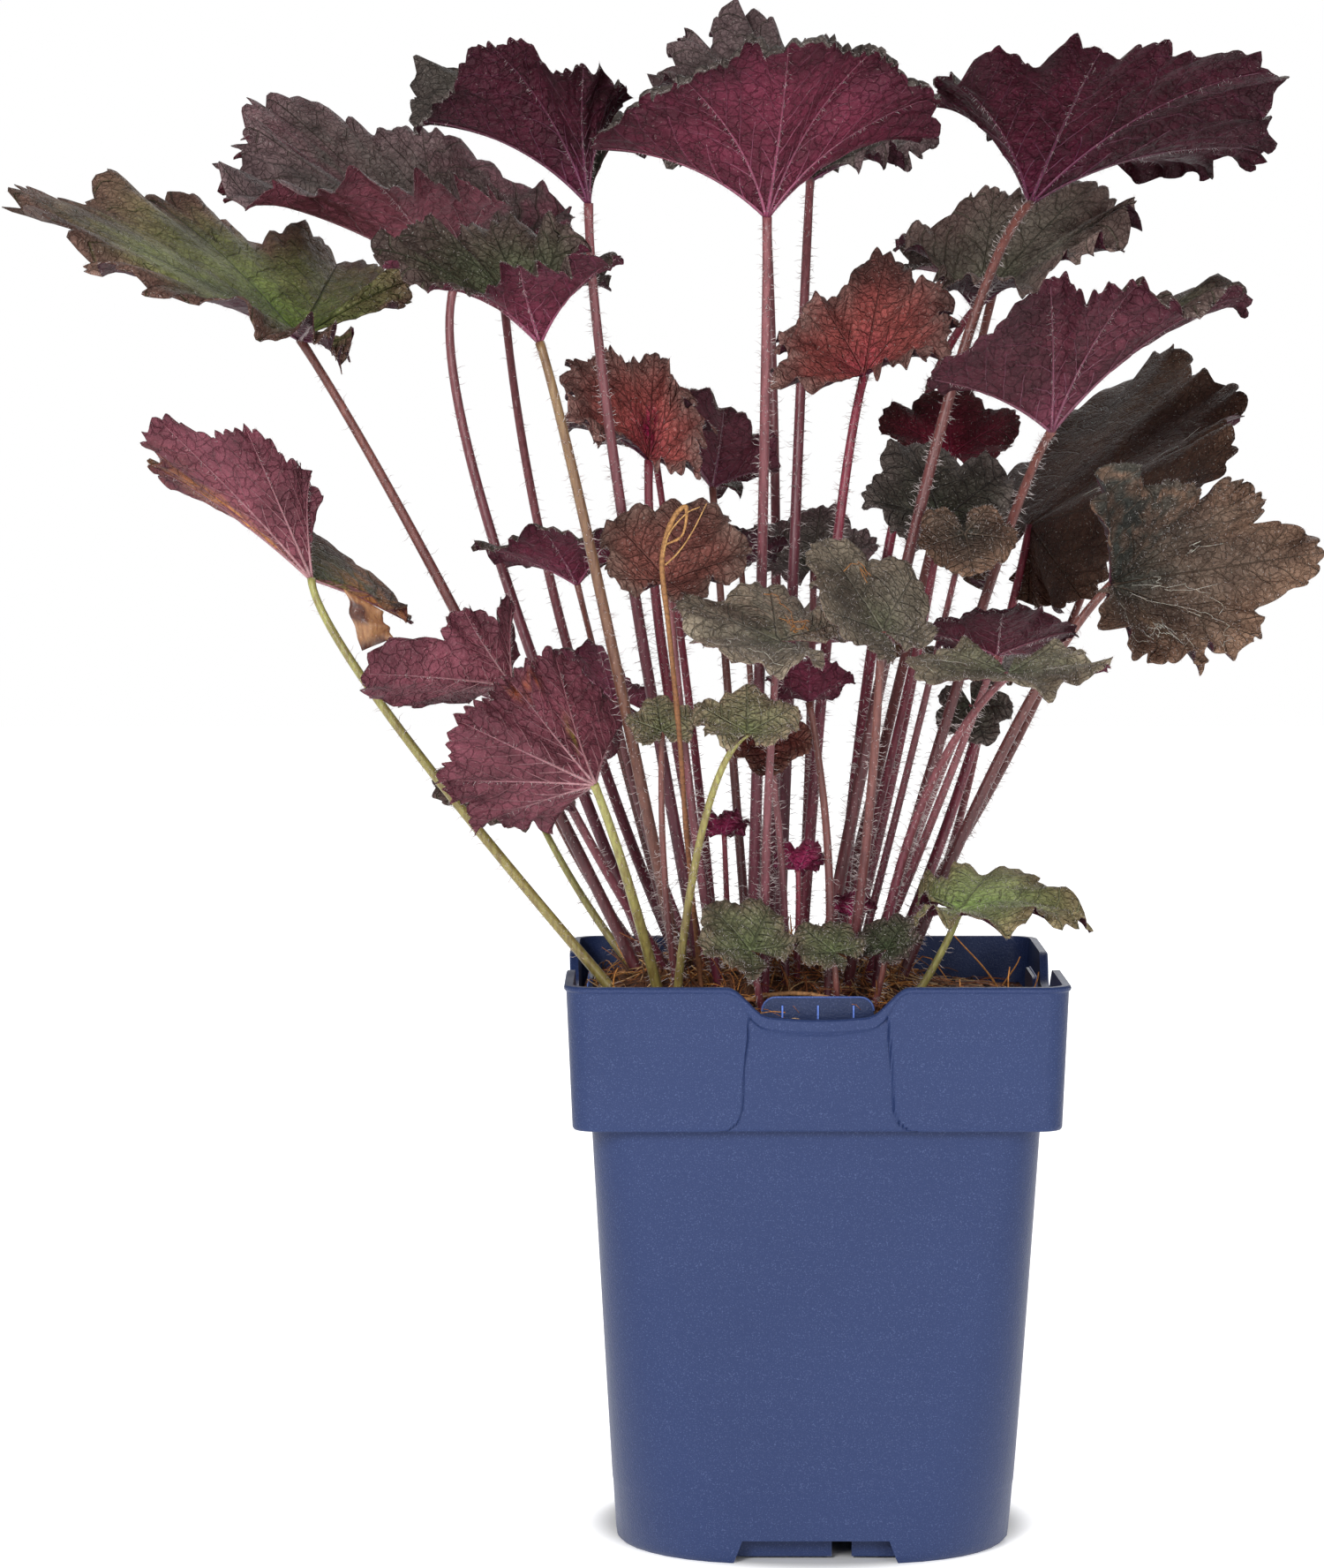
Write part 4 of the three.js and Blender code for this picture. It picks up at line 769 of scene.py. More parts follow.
def set_axes(leaf):
    """The leaf's own directions: along its midrib, to its side, and out of its upper side."""
    az, rise, roll = (math.radians(x) for x in (leaf.az, leaf.rise, leaf.roll))
    leaf.along = np.array([math.cos(az) * math.cos(rise), math.sin(az) * math.cos(rise), math.sin(rise)])
    level = np.array([-math.sin(az), math.cos(az), 0.0])
    normal = np.cross(leaf.along, level)
    leaf.side = level * math.cos(roll) + normal * math.sin(roll)
    leaf.up = normal * math.cos(roll) - level * math.sin(roll)
    leaf.origin = np.array(leaf.at, float)


# s of the rows of points, from the margin inward.
MARGIN_ROWS = (1, 0.98, 0.95, 0.91, 0.86, 0.79, 0.71, 0.63)
MIDDLE_ROWS = (0.57, 0.5, 0.43, 0.36)
HEART_ROWS = (0.29, 0.22, 0.15, 0.08)


def blade_rows(leaf):
    """Rows from the margin inward: (points for each lobe, s)."""
    fine = 45 if leaf.lobes > 5 and not leaf.rear else 27
    if leaf.size < 23:
        fine = 18
    rows = ((fine, MARGIN_ROWS), (fine // 3, MIDDLE_ROWS), (fine // 9, HEART_ROWS))
    return [(number, s) for number, reaches in rows for s in reaches]


def stitch(outer, inner):
    """Triangles between an outer row of point numbers and an inner row with as many or fewer."""
    ratio = (len(outer) - 1) // (len(inner) - 1)
    out = []
    j = np.arange(len(inner) - 1)
    turn = (ratio + 1) // 2
    for i in range(ratio):
        near = inner[j] if i < turn else inner[j + 1]
        out.append(np.stack([near, outer[ratio * j + i], outer[ratio * j + i + 1]], 1))
        if i == turn - 1:
            out.append(np.stack([near, outer[ratio * j + i + 1], inner[j + 1]], 1))
    return out


def face_colours(leaf, name, place, s):
    """Colour of each point, and of the veins at it."""
    heart, middle, margin, vein = (linear(c) for c in FACES[name])
    ragged = s + 0.12 * (lattice_noise(place * 2.2, s * 5, leaf.seed) - 0.5)
    tint = heart + (middle - heart) * smooth(0.05, 0.5, ragged)[:, None]
    tint = tint + (margin - tint) * smooth(0.55, 1.0, ragged)[:, None]
    tint = tint * (0.9 + 0.2 * hashed(leaf.seed, 9))
    for at, reach, wide, long, colour in MARKS.get(leaf.name, ()):
        spot = np.exp(-((place - at) / wide) ** 2 - ((s - reach) / long) ** 2)
        speckle = smooth(0.3, 0.6, lattice_noise(place * 9, s * 30, 7))
        tint = tint + (linear(colour) - tint) * (spot * speckle)[:, None]
    return tint, np.broadcast_to(vein, tint.shape)


def add_blade(shape, leaf):
    """The blade as two faces, thinner at the margin, joined round their edge."""
    theta, s, ids, triangles = [], [], [], []
    count = 0
    for per_lobe, reach in blade_rows(leaf):
        number = per_lobe * leaf.lobes + 1
        theta.append(np.linspace(-SPREAD, SPREAD, number))
        s.append(np.full(number, reach))
        ids.append(count + np.arange(number))
        count += number
    for outer, inner in zip(ids, ids[1:]):
        triangles += stitch(outer, inner)
    theta, s = np.concatenate(theta + [[0.0]]), np.concatenate(s + [[0.0]])
    last = ids[-1]
    triangles.append(np.stack([0 * last[:-1] + count, last[:-1], last[1:]], 1))
    triangles = np.concatenate(triangles)
    points = blade_point(leaf, theta, s)
    corners = points[triangles]
    face = np.cross(corners[:, 1] - corners[:, 0], corners[:, 2] - corners[:, 0])
    normal = np.zeros_like(points)
    for k in range(3):
        np.add.at(normal, triangles[:, k], face)
    offset = unit(normal) * (BLADE_HALF + (EDGE_HALF - BLADE_HALF) * smooth(0.9, 1.0, s))[:, None]
    place = (theta / SPREAD + 1) / 2 * leaf.lobes
    blade = np.stack([place, s, 2 * SPREAD / leaf.lobes * s * margin_radius(leaf, theta)], 1)
    n = len(points)
    edge = np.concatenate([ids[0], [row[-1] for row in ids[1:]], [count], [row[0] for row in ids[:0:-1]]])
    follow = np.roll(edge, -1)
    rim = np.concatenate([np.stack([edge, edge + n, follow + n], 1), np.stack([edge, follow + n, follow], 1)])
    top_tint, top_vein = face_colours(leaf, leaf.top, place, s)
    low_tint, low_vein = face_colours(leaf, leaf.under, place, s)
    faces = np.concatenate([triangles, triangles[:, [0, 2, 1]] + n, rim])
    numbers = np.repeat([UPPER_SIDE, UNDERSIDE, UPPER_SIDE], [len(triangles), len(triangles), len(rim)])
    shape.add(np.concatenate([points + offset, points - offset]), faces, numbers,
              np.concatenate([top_tint, low_tint]), np.concatenate([top_vein, low_vein]),
              np.tile(blade, (2, 1)))


RIB_POINTS = 18
SIDE_VEIN_POINTS = 8
SIDE_VEIN_ROWS = range(1, 6)
VEIN_SIDES = 4


def vein_paths(leaf):
    """(theta, s, radius) of each vein that stands out below."""
    step = 2 * SPREAD / leaf.lobes
    for lobe in range(leaf.lobes):
        middle = -SPREAD + (lobe + 0.5) * step
        s = np.linspace(0.0, 0.96, RIB_POINTS)
        yield np.full(RIB_POINTS, middle), s, leaf.rib * (1 - 0.75 * s)
        for row in SIDE_VEIN_ROWS:
            for hand in (-1, 1):
                start = (row + 0.5 - SIDE_SHIFT * (hand > 0)) * VEIN_GAP
                u = np.linspace(0.0, 0.5, SIDE_VEIN_POINTS)
                s = start * math.sin(VEIN_ANGLE) / np.sin(VEIN_ANGLE - u * step)
                inside = s < 0.95
                if np.sum(inside) > 3:
                    yield (middle + hand * u * step)[inside], s[inside], leaf.rib * 0.34 * (1.1 - s[inside])


def add_veins(shape, leaf):
    tint = linear(FACES[leaf.under][3])
    body = linear(FACES[leaf.under][0])
    for theta, s, radius in vein_paths(leaf):
        normal = blade_normal(leaf, theta, s + 0.001)
        path = blade_point(leaf, theta, s) - normal * (BLADE_HALF + 0.15 * radius)[:, None]
        share = np.repeat(smooth(-0.2, 0.7, s), VEIN_SIDES)[:, None]
        shape.add(*tube(path, radius, VEIN_SIDES, across=normal), SKIN, tint + (body - tint) * share * 0.9)


# Leaves with many pale hairs on the upper side.
FELTED = ("front_grey", "mid_grey", "front_green", "front_tiny", "right_wing", "right_low", "rim_grey",
          "rim_small", "rim_right", "rim_wing", "mid_purple", "right_tiny")
# Hairs for each millimetre of a blade's size: on each rib, round the margin, and on the upper side.
RIB_HAIRS = 0.7
MARGIN_HAIRS = 9
FELT_HAIRS = 20
FEW_HAIRS = 2
HAIR_RADIUS = 0.06
FELT_RADIUS = 0.075


def add_blade_hairs(shape, leaf, rng):
    """Hairs along the ribs below, round the margin, and on the upper side."""
    step = 2 * SPREAD / leaf.lobes
    lobe = np.repeat(np.arange(leaf.lobes), int(leaf.size * RIB_HAIRS))
    s = rng.uniform(0.02, 0.9, len(lobe))
    theta = -SPREAD + (lobe + 0.5) * step + rng.normal(0, 0.01, len(lobe))
    normal = blade_normal(leaf, theta, s)
    roots = blade_point(leaf, theta, s) - normal * 0.5
    sideways = unit(rng.normal(size=(len(s), 3)))
    ends = roots + unit(-normal + 0.8 * sideways) * rng.uniform(0.8, 2.2, len(s))[:, None]
    number = int(leaf.size * MARGIN_HAIRS)
    theta = rng.uniform(-SPREAD, SPREAD, number)
    edge = blade_point(leaf, theta, np.full(number, 0.99))
    out = unit(edge - blade_point(leaf, theta, np.full(number, 0.94)))
    tips = edge + unit(out + 0.6 * rng.normal(size=out.shape)) * rng.uniform(0.4, 1.6, number)[:, None]
    roots, ends = np.concatenate([roots, edge]), np.concatenate([ends, tips])
    shape.add(*straight_hairs(roots, ends, HAIR_RADIUS, rng), HAIR, WHITE)
    number = int(leaf.size * (FELT_HAIRS if leaf.name in FELTED else FEW_HAIRS))
    theta = rng.uniform(-SPREAD, SPREAD, number)
    s = np.sqrt(rng.uniform(0.02, 0.97, number))
    normal = blade_normal(leaf, theta, s)
    roots = blade_point(leaf, theta, s) + normal * 0.15
    lean = normal * rng.uniform(0.2, 1.0, number)[:, None]
    ends = roots + unit(unit(rng.normal(size=(number, 3))) + lean) * rng.uniform(0.5, 1.5, number)[:, None]
    shape.add(*straight_hairs(roots, ends, FELT_RADIUS, rng), HAIR, WHITE)


# Webs and root threads that lie on a blade: name -> (place, s) where each starts and ends, colour.
WEB = 0xCFC8BA
ROOTLET = 0xB87A3C
WEB_RADIUS = 0.07
ROOTLET_RADIUS = 0.13
THREAD_POINTS = 24
THREADS = {
    "right_low": [(3.1, 0.12, 2.7, 0.7, WEB), (2.2, 0.15, 2.5, 0.62, WEB), (1.9, 0.5, 1.2, 0.75, WEB),
                  (1.7, 0.55, 2.1, 0.8, WEB), (1.5, 0.7, 1.9, 0.85, WEB), (0.6, 0.3, 0.9, 0.9, WEB),
                  (3.6, 0.2, 3.2, 0.55, WEB), (1.4, 0.6, 1.8, 0.66, WEB), (1.2, 0.62, 1.7, 0.7, WEB),
                  (1.3, 0.72, 1.6, 0.6, WEB), (4.2, 0.5, 3.9, 0.66, WEB), (2.6, 0.5, 2.3, 0.85, WEB)],
    "front_grey": [(0.8, 0.3, 1.6, 0.75, ROOTLET), (1.0, 0.7, 0.6, 0.35, ROOTLET),
                   (0.5, 0.5, 1.3, 0.5, ROOTLET), (0.7, 0.6, 1.4, 0.4, ROOTLET), (3.6, 0.6, 4.2, 0.85, WEB),
                   (3.1, 0.5, 3.3, 0.9, WEB), (4.6, 0.5, 4.0, 0.7, WEB)],
    "mid_grey": [(2.2, 0.5, 2.5, 0.62, ROOTLET)],
    "right_wing": [(1.0, 0.5, 1.6, 0.8, WEB), (3.4, 0.4, 3.9, 0.8, WEB)],
    "front_green": [(2.0, 0.5, 2.4, 0.8, WEB), (4.4, 0.5, 4.9, 0.7, WEB)],
    "right_brown": [(3.0, 0.3, 3.3, 0.8, WEB)],
}


def add_threads(shape, leaf, rng):
    for place, s, last_place, last_s, colour in THREADS.get(leaf.name, ()):
        t = np.linspace(0, 1, THREAD_POINTS)
        wander = np.cumsum(rng.normal(0, 0.04, (2, THREAD_POINTS)), axis=1) * np.sin(np.pi * t) ** 0.5
        theta = ((place + (last_place - place) * t + wander[0]) / leaf.lobes * 2 - 1) * SPREAD
        reach = np.clip(s + (last_s - s) * t + wander[1] * 0.6, 0.05, 0.98)
        path = blade_point(leaf, theta, reach) + blade_normal(leaf, theta, reach) * 0.4
        shape.add(*tube(path, WEB_RADIUS if colour == WEB else ROOTLET_RADIUS, 4), SKIN, linear(colour))


# The dead flap that hangs from the folded leaf's curled lobe: its corners, upper left and right, then lower.
DEAD_FLAP = [(-143, -9, 290), (-131.5, -9, 283), (-137.5, -10, 271), (-128.5, -10, 275)]
FLAP_ROWS = 16
FLAP_COLUMNS = 12
FLAP_THICKNESS = 0.3


def add_dead_flap(shape):
    """A crumpled sheet between the flap's corners, closed by a second one behind it."""
    a, b, c, d = np.array(DEAD_FLAP, float)
    columns, n = FLAP_COLUMNS, FLAP_ROWS * FLAP_COLUMNS
    grid = np.meshgrid(np.linspace(0, 1, FLAP_ROWS), np.linspace(0, 1, columns), indexing="ij")
    v, u = (x.ravel() for x in grid)
    sheet = (a + (b - a) * u[:, None]) * (1 - v)[:, None] + (c + (d - c) * u[:, None]) * v[:, None]
    sheet[:, 1] -= 3.0 * np.sin(np.pi * u) * np.sin(np.pi * v) + 2.2 * (lattice_noise(u * 3, v * 4, 5) - 0.5)
    sheet[:, 0] += 1.6 * (lattice_noise(v * 5, u, 8) - 0.5)
    k = (np.arange(FLAP_ROWS - 1)[:, None] * columns + np.arange(columns - 1)).ravel()
    faces = np.concatenate([np.stack([k, k + columns, k + 1], 1),
                            np.stack([k + 1, k + columns, k + columns + 1], 1)])
    edge = np.concatenate([np.arange(columns), np.arange(2 * columns - 1, n, columns),
                           np.arange(n - 2, n - columns - 1, -1), np.arange(n - 2 * columns, 0, -columns)])
    follow = np.roll(edge, -1)
    rim = np.concatenate([np.stack([edge, follow, follow + n], 1), np.stack([edge, follow + n, edge + n], 1)])
    patch = smooth(0.35, 0.65, lattice_noise(u * 3, v * 3, 12))[:, None]
    colour = linear(0xA47A54) + (linear(0x5A3E34) - linear(0xA47A54)) * patch
    shape.add(np.concatenate([sheet, sheet + (0, FLAP_THICKNESS, 0)]),
              np.concatenate([faces, faces[:, ::-1] + n, rim]), SKIN, np.tile(colour, (2, 1)))


# ---------------------------------------------------------------- stalks
def soil_height(x, y):
    return SOIL_EDGE + MOUND_HEIGHT * np.exp(-((x - MOUND_X) ** 2 + y ** 2) / (2 * MOUND_WIDTH ** 2))


def stalk_point(leaf, t):
    foot = np.array([*leaf.foot, soil_height(*leaf.foot) - ROOT_DEPTH])
    control = 2 * np.array(leaf.mid, float) - (foot + leaf.origin) / 2
    t = np.asarray(t)[..., None]
    return foot * (1 - t) ** 2 + 2 * control * t * (1 - t) + leaf.origin * t ** 2


STALK_POINTS = 30
STALK_SIDES = 10
STALK_HAIR_RADIUS = 0.11


def add_stalk(shape, leaf, rng):
    """The stalk and its hairs, which thin out from the soil to the blade."""
    t = np.linspace(0, 1, STALK_POINTS)
    path = stalk_point(leaf, t)
    radius = 0.94 * leaf.stalk * (1.2 - 0.4 * t + 0.12 * smooth(0.93, 1.0, t) + 0.1 * smooth(0.1, 0.0, t))
    low, high = (linear(c) for c in STALKS[leaf.stem])
    tint = low + (high - low) * np.repeat(smooth(0.1, 0.95, t), STALK_SIDES)[:, None]
    shape.add(*tube(path, radius, STALK_SIDES), SKIN, tint)
    length = np.sum(np.linalg.norm(np.diff(path, axis=0), axis=1))
    dense, sparse = HAIRS[leaf.hairs]
    wanted = int(length * dense)
    t = rng.uniform(0.04, 0.99, wanted)
    t = t[rng.uniform(0, dense, wanted) < dense + (sparse - dense) * smooth(0.25, 0.95, t)]
    root = stalk_point(leaf, t)
    along = unit(stalk_point(leaf, t + 0.01) - stalk_point(leaf, t - 0.01))
    out = unit(np.cross(along, rng.normal(size=root.shape)))
    size = (leaf.stalk * (1.2 - 0.4 * t) * 0.85)[:, None]
    lean = along * rng.normal(0.05, 0.4, len(t))[:, None]
    reach = (rng.uniform(1.2, 3.7, len(t)) * (1.1 - 0.3 * t) * min(1.0, 0.5 + leaf.stalk / 3))[:, None]
    start = root + out * size
    droop = 0.18 * np.sign(rng.normal(size=(len(t), 1)))
    hairs = bent_hairs(start, start + unit(out + lean) * reach, STALK_HAIR_RADIUS, droop, rng)
    shape.add(*hairs, HAIR, WHITE)


def make_leaf(index, name, materials):
    leaf = SimpleNamespace(**LEAVES[name], seed=index + 1, name=name)
    leaf.rear = name.startswith("rear")
    leaf.rib = min(0.62, 0.2 + leaf.size / 150)
    set_axes(leaf)
    rng = np.random.default_rng(leaf.seed)
    shape = Shape()
    add_blade(shape, leaf)
    if leaf.size > 20:
        add_veins(shape, leaf)
    add_blade_hairs(shape, leaf, rng)
    add_threads(shape, leaf, rng)
    if name == "left_fold":
        add_dead_flap(shape)
    add_stalk(shape, leaf, rng)
    piece = shape.build(f"plant_{name}", materials)
    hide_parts(f"leaf_{name}")
    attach(piece, "root")


# ---------------------------------------------------------------- pot
def side_columns():
    """Places across one pot side, from corner to corner, as (straight x, corner share).

    They are half a millimetre apart round the dip and the panel's edges, and 2 to 4 mm apart elsewhere.
    """
    fine = np.arange(17.5, 31.01, 0.5)
    half = np.concatenate([np.arange(0, 17, 2.0), fine, np.arange(34, STRAIGHT_END, 4.0)])
    return np.concatenate([-half[:0:-1], half]), np.arange(0, 9) / 9


STRAIGHT_X, CORNER_SHARE = side_columns()
# Stands for the x of a point on a corner, where a side has none of its features.
ON_CORNER = 99.0


def pot_ring(half, corner):
    """x, y and outward direction of a rounded square's points, and each point's x along its own side."""
    points, outward, along = [], [], []
    for side in range(4):
        turn = side * math.pi / 2
        x = STRAIGHT_X / STRAIGHT_END * (half - corner)
        local = np.stack([x, np.full_like(x, -half)], 1)
        face = np.tile([0.0, -1.0], (len(x), 1))
        angle = -math.pi / 2 + CORNER_SHARE * math.pi / 2
        arc = np.stack([np.cos(angle), np.sin(angle)], 1)
        bend = np.array([half - corner, -(half - corner)]) + corner * arc
        local, face = np.concatenate([local, bend]), np.concatenate([face, arc])
        rotation = np.array([[math.cos(turn), math.sin(turn)], [-math.sin(turn), math.cos(turn)]])
        points.append(local @ rotation)
        outward.append(face @ rotation)
        along.append(np.concatenate([x, np.full(len(arc), ON_CORNER)]))
    return np.concatenate(points), np.concatenate(outward), np.concatenate(along)


def rim_height(x):
    """Height of the rim at x along a side: level, with a sagging dip in the middle."""
    x = np.abs(x)
    dip = DIP_DEPTH * smooth(DIP_HALF + 7, DIP_HALF - 5, x)
    sag = DIP_SAG * np.clip(1 - (x / DIP_HALF) ** 2, 0, 1)
    return POT_HEIGHT - dip - sag


def recess(x, z):
    """1 on the sunk panel between the flaps, 0 on the flaps."""
    up = (POT_HEIGHT - z) / (POT_HEIGHT - COLLAR_BASE)
    edge = PANEL_HALF_TOP + (PANEL_HALF_LOW - PANEL_HALF_TOP) * up
    low = np.clip(PANEL_CORNER - (z - COLLAR_BASE), 0, PANEL_CORNER)
    edge = edge + PANEL_CORNER - np.sqrt(PANEL_CORNER ** 2 - low ** 2)
    return smooth(0.45, -0.45, np.abs(x) - edge)


def collar_level(v, outside):
    """Points of the collar at share v of its height."""
    flat, outward, x = pot_ring(COLLAR_HALF_TOP, COLLAR_CORNER)
    z = COLLAR_BASE + v * (rim_height(x) - COLLAR_BASE)
    up = (z - COLLAR_BASE) / (POT_HEIGHT - COLLAR_BASE)
    offset = COLLAR_HALF_LOW + (COLLAR_HALF_TOP - COLLAR_HALF_LOW) * up - COLLAR_HALF_TOP
    if outside:
        dipped = smooth(DIP_HALF + 4, DIP_HALF - 1, np.abs(x))
        lip = LIP_HEIGHT + (LIP_HEIGHT_DIP - LIP_HEIGHT) * dipped
        below = rim_height(x) - z
        band = smooth(lip + 0.3, lip - 0.3, below)
        sunk = recess(x, z)
        seam = 4 * sunk * (1 - sunk)
        offset = offset - (PANEL_DEPTH * sunk + SEAM_DEPTH * seam) * (1 - band) + LIP_OUT * band
        offset = offset - EDGE_ROUND * (smooth(0.5, 0.0, below) + smooth(0.6, 0.0, z - COLLAR_BASE))
    else:
        offset = offset - COLLAR_WALL
    return np.column_stack([flat + outward * offset[:, None], z])


def body_level(z, inset):
    """Points of the tapering body at height z, inset from its outside."""
    t = np.clip(z / COLLAR_BASE, 0, 1)
    half = BODY_HALF_LOW + (BODY_HALF_TOP - BODY_HALF_LOW) * t - inset
    corner = BODY_CORNER_LOW + (BODY_CORNER_TOP - BODY_CORNER_LOW) * math.sqrt(t) - inset
    flat, _, _ = pot_ring(half, corner)
    return np.column_stack([flat, np.full(len(flat), float(z))])


def pot_shell():
    """Rings from the middle of the underside, up the outside and down the inside, to the floor's middle."""
    rings = [body_level(FLOOR_LOW, 24), body_level(FLOOR_LOW, 2.0), body_level(0, 2.4), body_level(0, 0.8)]
    rings += [body_level(z, 0.15 * smooth(1.0, -1.0, z - PARTING_LINE)) for z in
              (1.5, 4, 8, 13, 19, 19.7, 20.3, 21, 27, 34, 42, 52, 64, 78, 92, 106, 120, 131.9)]
    rings += [collar_level(v, True) for v in
              (0, 0.008, 0.018, 0.035, 0.06, 0.09, 0.12, 0.16, 0.3, 0.45, 0.6, 0.72, 0.8, 0.85, 0.875, 0.9,
               0.92, 0.94, 0.955, 0.97, 0.985, 0.995, 1.0)]
    rings += [collar_level(v, False) for v in (1.0, 0.97, 0.8, 0.5, 0.2, 0.04)]
    rings += [body_level(z, BODY_WALL) for z in (COLLAR_BASE, 100, 60, 30, FLOOR_TOP)]
    rings.append(body_level(FLOOR_TOP, 30))
    return rings


def slab(low, high):
    """A closed box between two corners."""
    x, y, z = zip(low, high)
    points = [(x[i], y[j], z[k]) for k in (0, 1) for j in (0, 1) for i in (0, 1)]
    faces = [(0, 2, 1), (1, 2, 3), (4, 5, 6), (5, 7, 6), (0, 1, 4), (1, 5, 4), (2, 6, 3), (3, 6, 7),
             (0, 4, 2), (2, 4, 6), (1, 3, 5), (3, 7, 5)]
    return np.array(points, float), np.array(faces)


def plate(outline, y, depth):
    """A closed plate with an outline of (x, z) points, its front at y."""
    n = len(outline)
    points = [(px, y + d, pz) for d in (0, depth) for px, pz in outline]
    fan = range(1, n - 1)
    faces = [(0, i, i + 1) for i in fan] + [(n, n + i + 1, n + i) for i in fan]
    faces += [(i, n + (i + 1) % n, (i + 1) % n) for i in range(n)]
    faces += [(i, n + i, n + (i + 1) % n) for i in range(n)]
    return np.array(points, float), np.array(faces)


def quarter_turns(points):
    """points on each of the pot's four sides."""
    for turn in range(4):
        c, s = math.cos(turn * math.pi / 2), math.sin(turn * math.pi / 2)
        yield points @ np.array([[c, s, 0], [-s, c, 0], [0, 0, 1]])


def tab_outline():
    arc = [(TAB_CORNER * math.sin(a), TAB_CORNER * math.cos(a)) for a in np.linspace(0, math.pi / 2, 6)]
    right = [(TAB_HALF - TAB_CORNER + dx, TAB_TOP - TAB_CORNER + dz) for dx, dz in arc]
    left = [(-x, z) for x, z in reversed(right)]
    return [(-TAB_HALF, TAB_LOW), (TAB_HALF, TAB_LOW), *reversed(right), *reversed(left)]


def pot_details():
    """The tab with its ledge, bead and ribs, and the skirt, of the front side, as (points, faces, shade);
    shade is painted light: 0.7 on the tab's plate is painted shade, 2.2 on its bead and 5.5 on its ribs are
    painted highlights.
    """
    # The tab's plate at 0.7: painted shade.
    yield (*plate(tab_outline(), TAB_Y - 0.6, 1.2), 0.7)
    yield (*slab((-16, TAB_Y - TAB_LEDGE, TAB_LOW), (16, TAB_Y, TAB_LOW + 1.4)), 1.0)
    # The bead round the tab at 2.2: a painted highlight.
    bead = [(x, TAB_Y - 0.55, z) for x, z in tab_outline()[2:]]
    yield (*tube(bead, 0.32, 6), 2.2)
    # The ribs at 5.5: painted highlights.
    for x in TAB_RIBS_AT:
        yield (*slab((x - 0.25, TAB_Y - 1.2, TAB_LOW + 4), (x + 0.25, TAB_Y - 0.5, TAB_TOP - 2.4)), 5.5)
    for low, high in SKIRT_SPANS:
        yield (*slab((low, -SKIRT_HALF - 0.8, 0.8), (high, -SKIRT_HALF + 0.8, FLOOR_LOW + 0.5)), 1.0)


def cut_openings(piece):
    """Cuts the foot's notches and the drain holes."""
    cutter = Shape()
    top, foot = NOTCH_HALF - 3, NOTCH_HALF
    outline = [(-foot, -1), (foot, -1), (top, NOTCH_HEIGHT), (-top, NOTCH_HEIGHT)]
    points, faces = plate(outline, -BODY_HALF_LOW - 5, 10)
    for turned in quarter_turns(points):
        cutter.add(turned, faces, 0, 0.0)
    for x, y in ((1, 0), (0, 1), (-1, 0), (0, -1)):
        path = [(x * DRAIN_OFFSET, y * DRAIN_OFFSET, z) for z in (FLOOR_LOW - 2, FLOOR_TOP + 2)]
        cutter.add(*tube(path, DRAIN_RADIUS, 32), 0, 0.0)
    tool = cutter.build("cutter", [])
    bpy.context.view_layer.update()
    cut = piece.modifiers.new("cut", "BOOLEAN")
    cut.object, cut.operation, cut.solver = tool, "DIFFERENCE", "EXACT"
    bpy.context.view_layer.update()
    done = bpy.data.meshes.new_from_object(piece.evaluated_get(bpy.context.evaluated_depsgraph_get()))
    piece.modifiers.clear()
    piece.data = done
    bpy.data.objects.remove(tool)


def make_pot():
    rings = pot_shell()
    shape = Shape()
    shape.add(np.concatenate(rings), ring_faces(len(rings), len(rings[0])), 0, 1.0)
    pot = shape.build("square_pot", [pot_material()], SHARP_ANGLE)
    cut_openings(pot)
    pot.data.set_sharp_from_angle(angle=math.radians(SHARP_ANGLE))
    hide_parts("pot")
    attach(pot, "root")
    details = Shape()
    # shade is painted light: painted shade on the tab's plate, painted highlights on its bead and ribs.
    for points, faces, shade in pot_details():
        for turned in quarter_turns(points):
            details.add(turned, faces, 0, shade)
    details.add(*tube([(0, 0, 0), (0, 0, FLOOR_LOW + 0.5)], PAD_RADIUS, 48), 0, 1.0)
    fittings = details.build("pot_tabs_and_skirt", [pot.data.materials[0]], SHARP_ANGLE)
    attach(fittings, "root")


# ---------------------------------------------------------------- soil
def soil_relief(x, y):
    """Height of the peat's crumbly surface."""
    lumps = 3.2 * (lattice_noise(x / 9, y / 9, 3) - 0.5) + 1.8 * (lattice_noise(x / 3.5, y / 3.5, 11) - 0.5)
    return soil_height(x, y) + lumps + 1.1 * (lattice_noise(x / 1.3, y / 1.3, 23) - 0.5)


def soil_edge(scale):
    """x, y of a ring on the peat's surface, scaled from the collar's inside."""
    inner = COLLAR_HALF_LOW + (COLLAR_HALF_TOP - COLLAR_HALF_LOW) * 0.6 - COLLAR_WALL - SOIL_GAP
    flat, _, _ = pot_ring(inner, COLLAR_CORNER - COLLAR_WALL)
    return flat * scale


SOIL_RINGS = 52
SOIL_CREST = 3.0


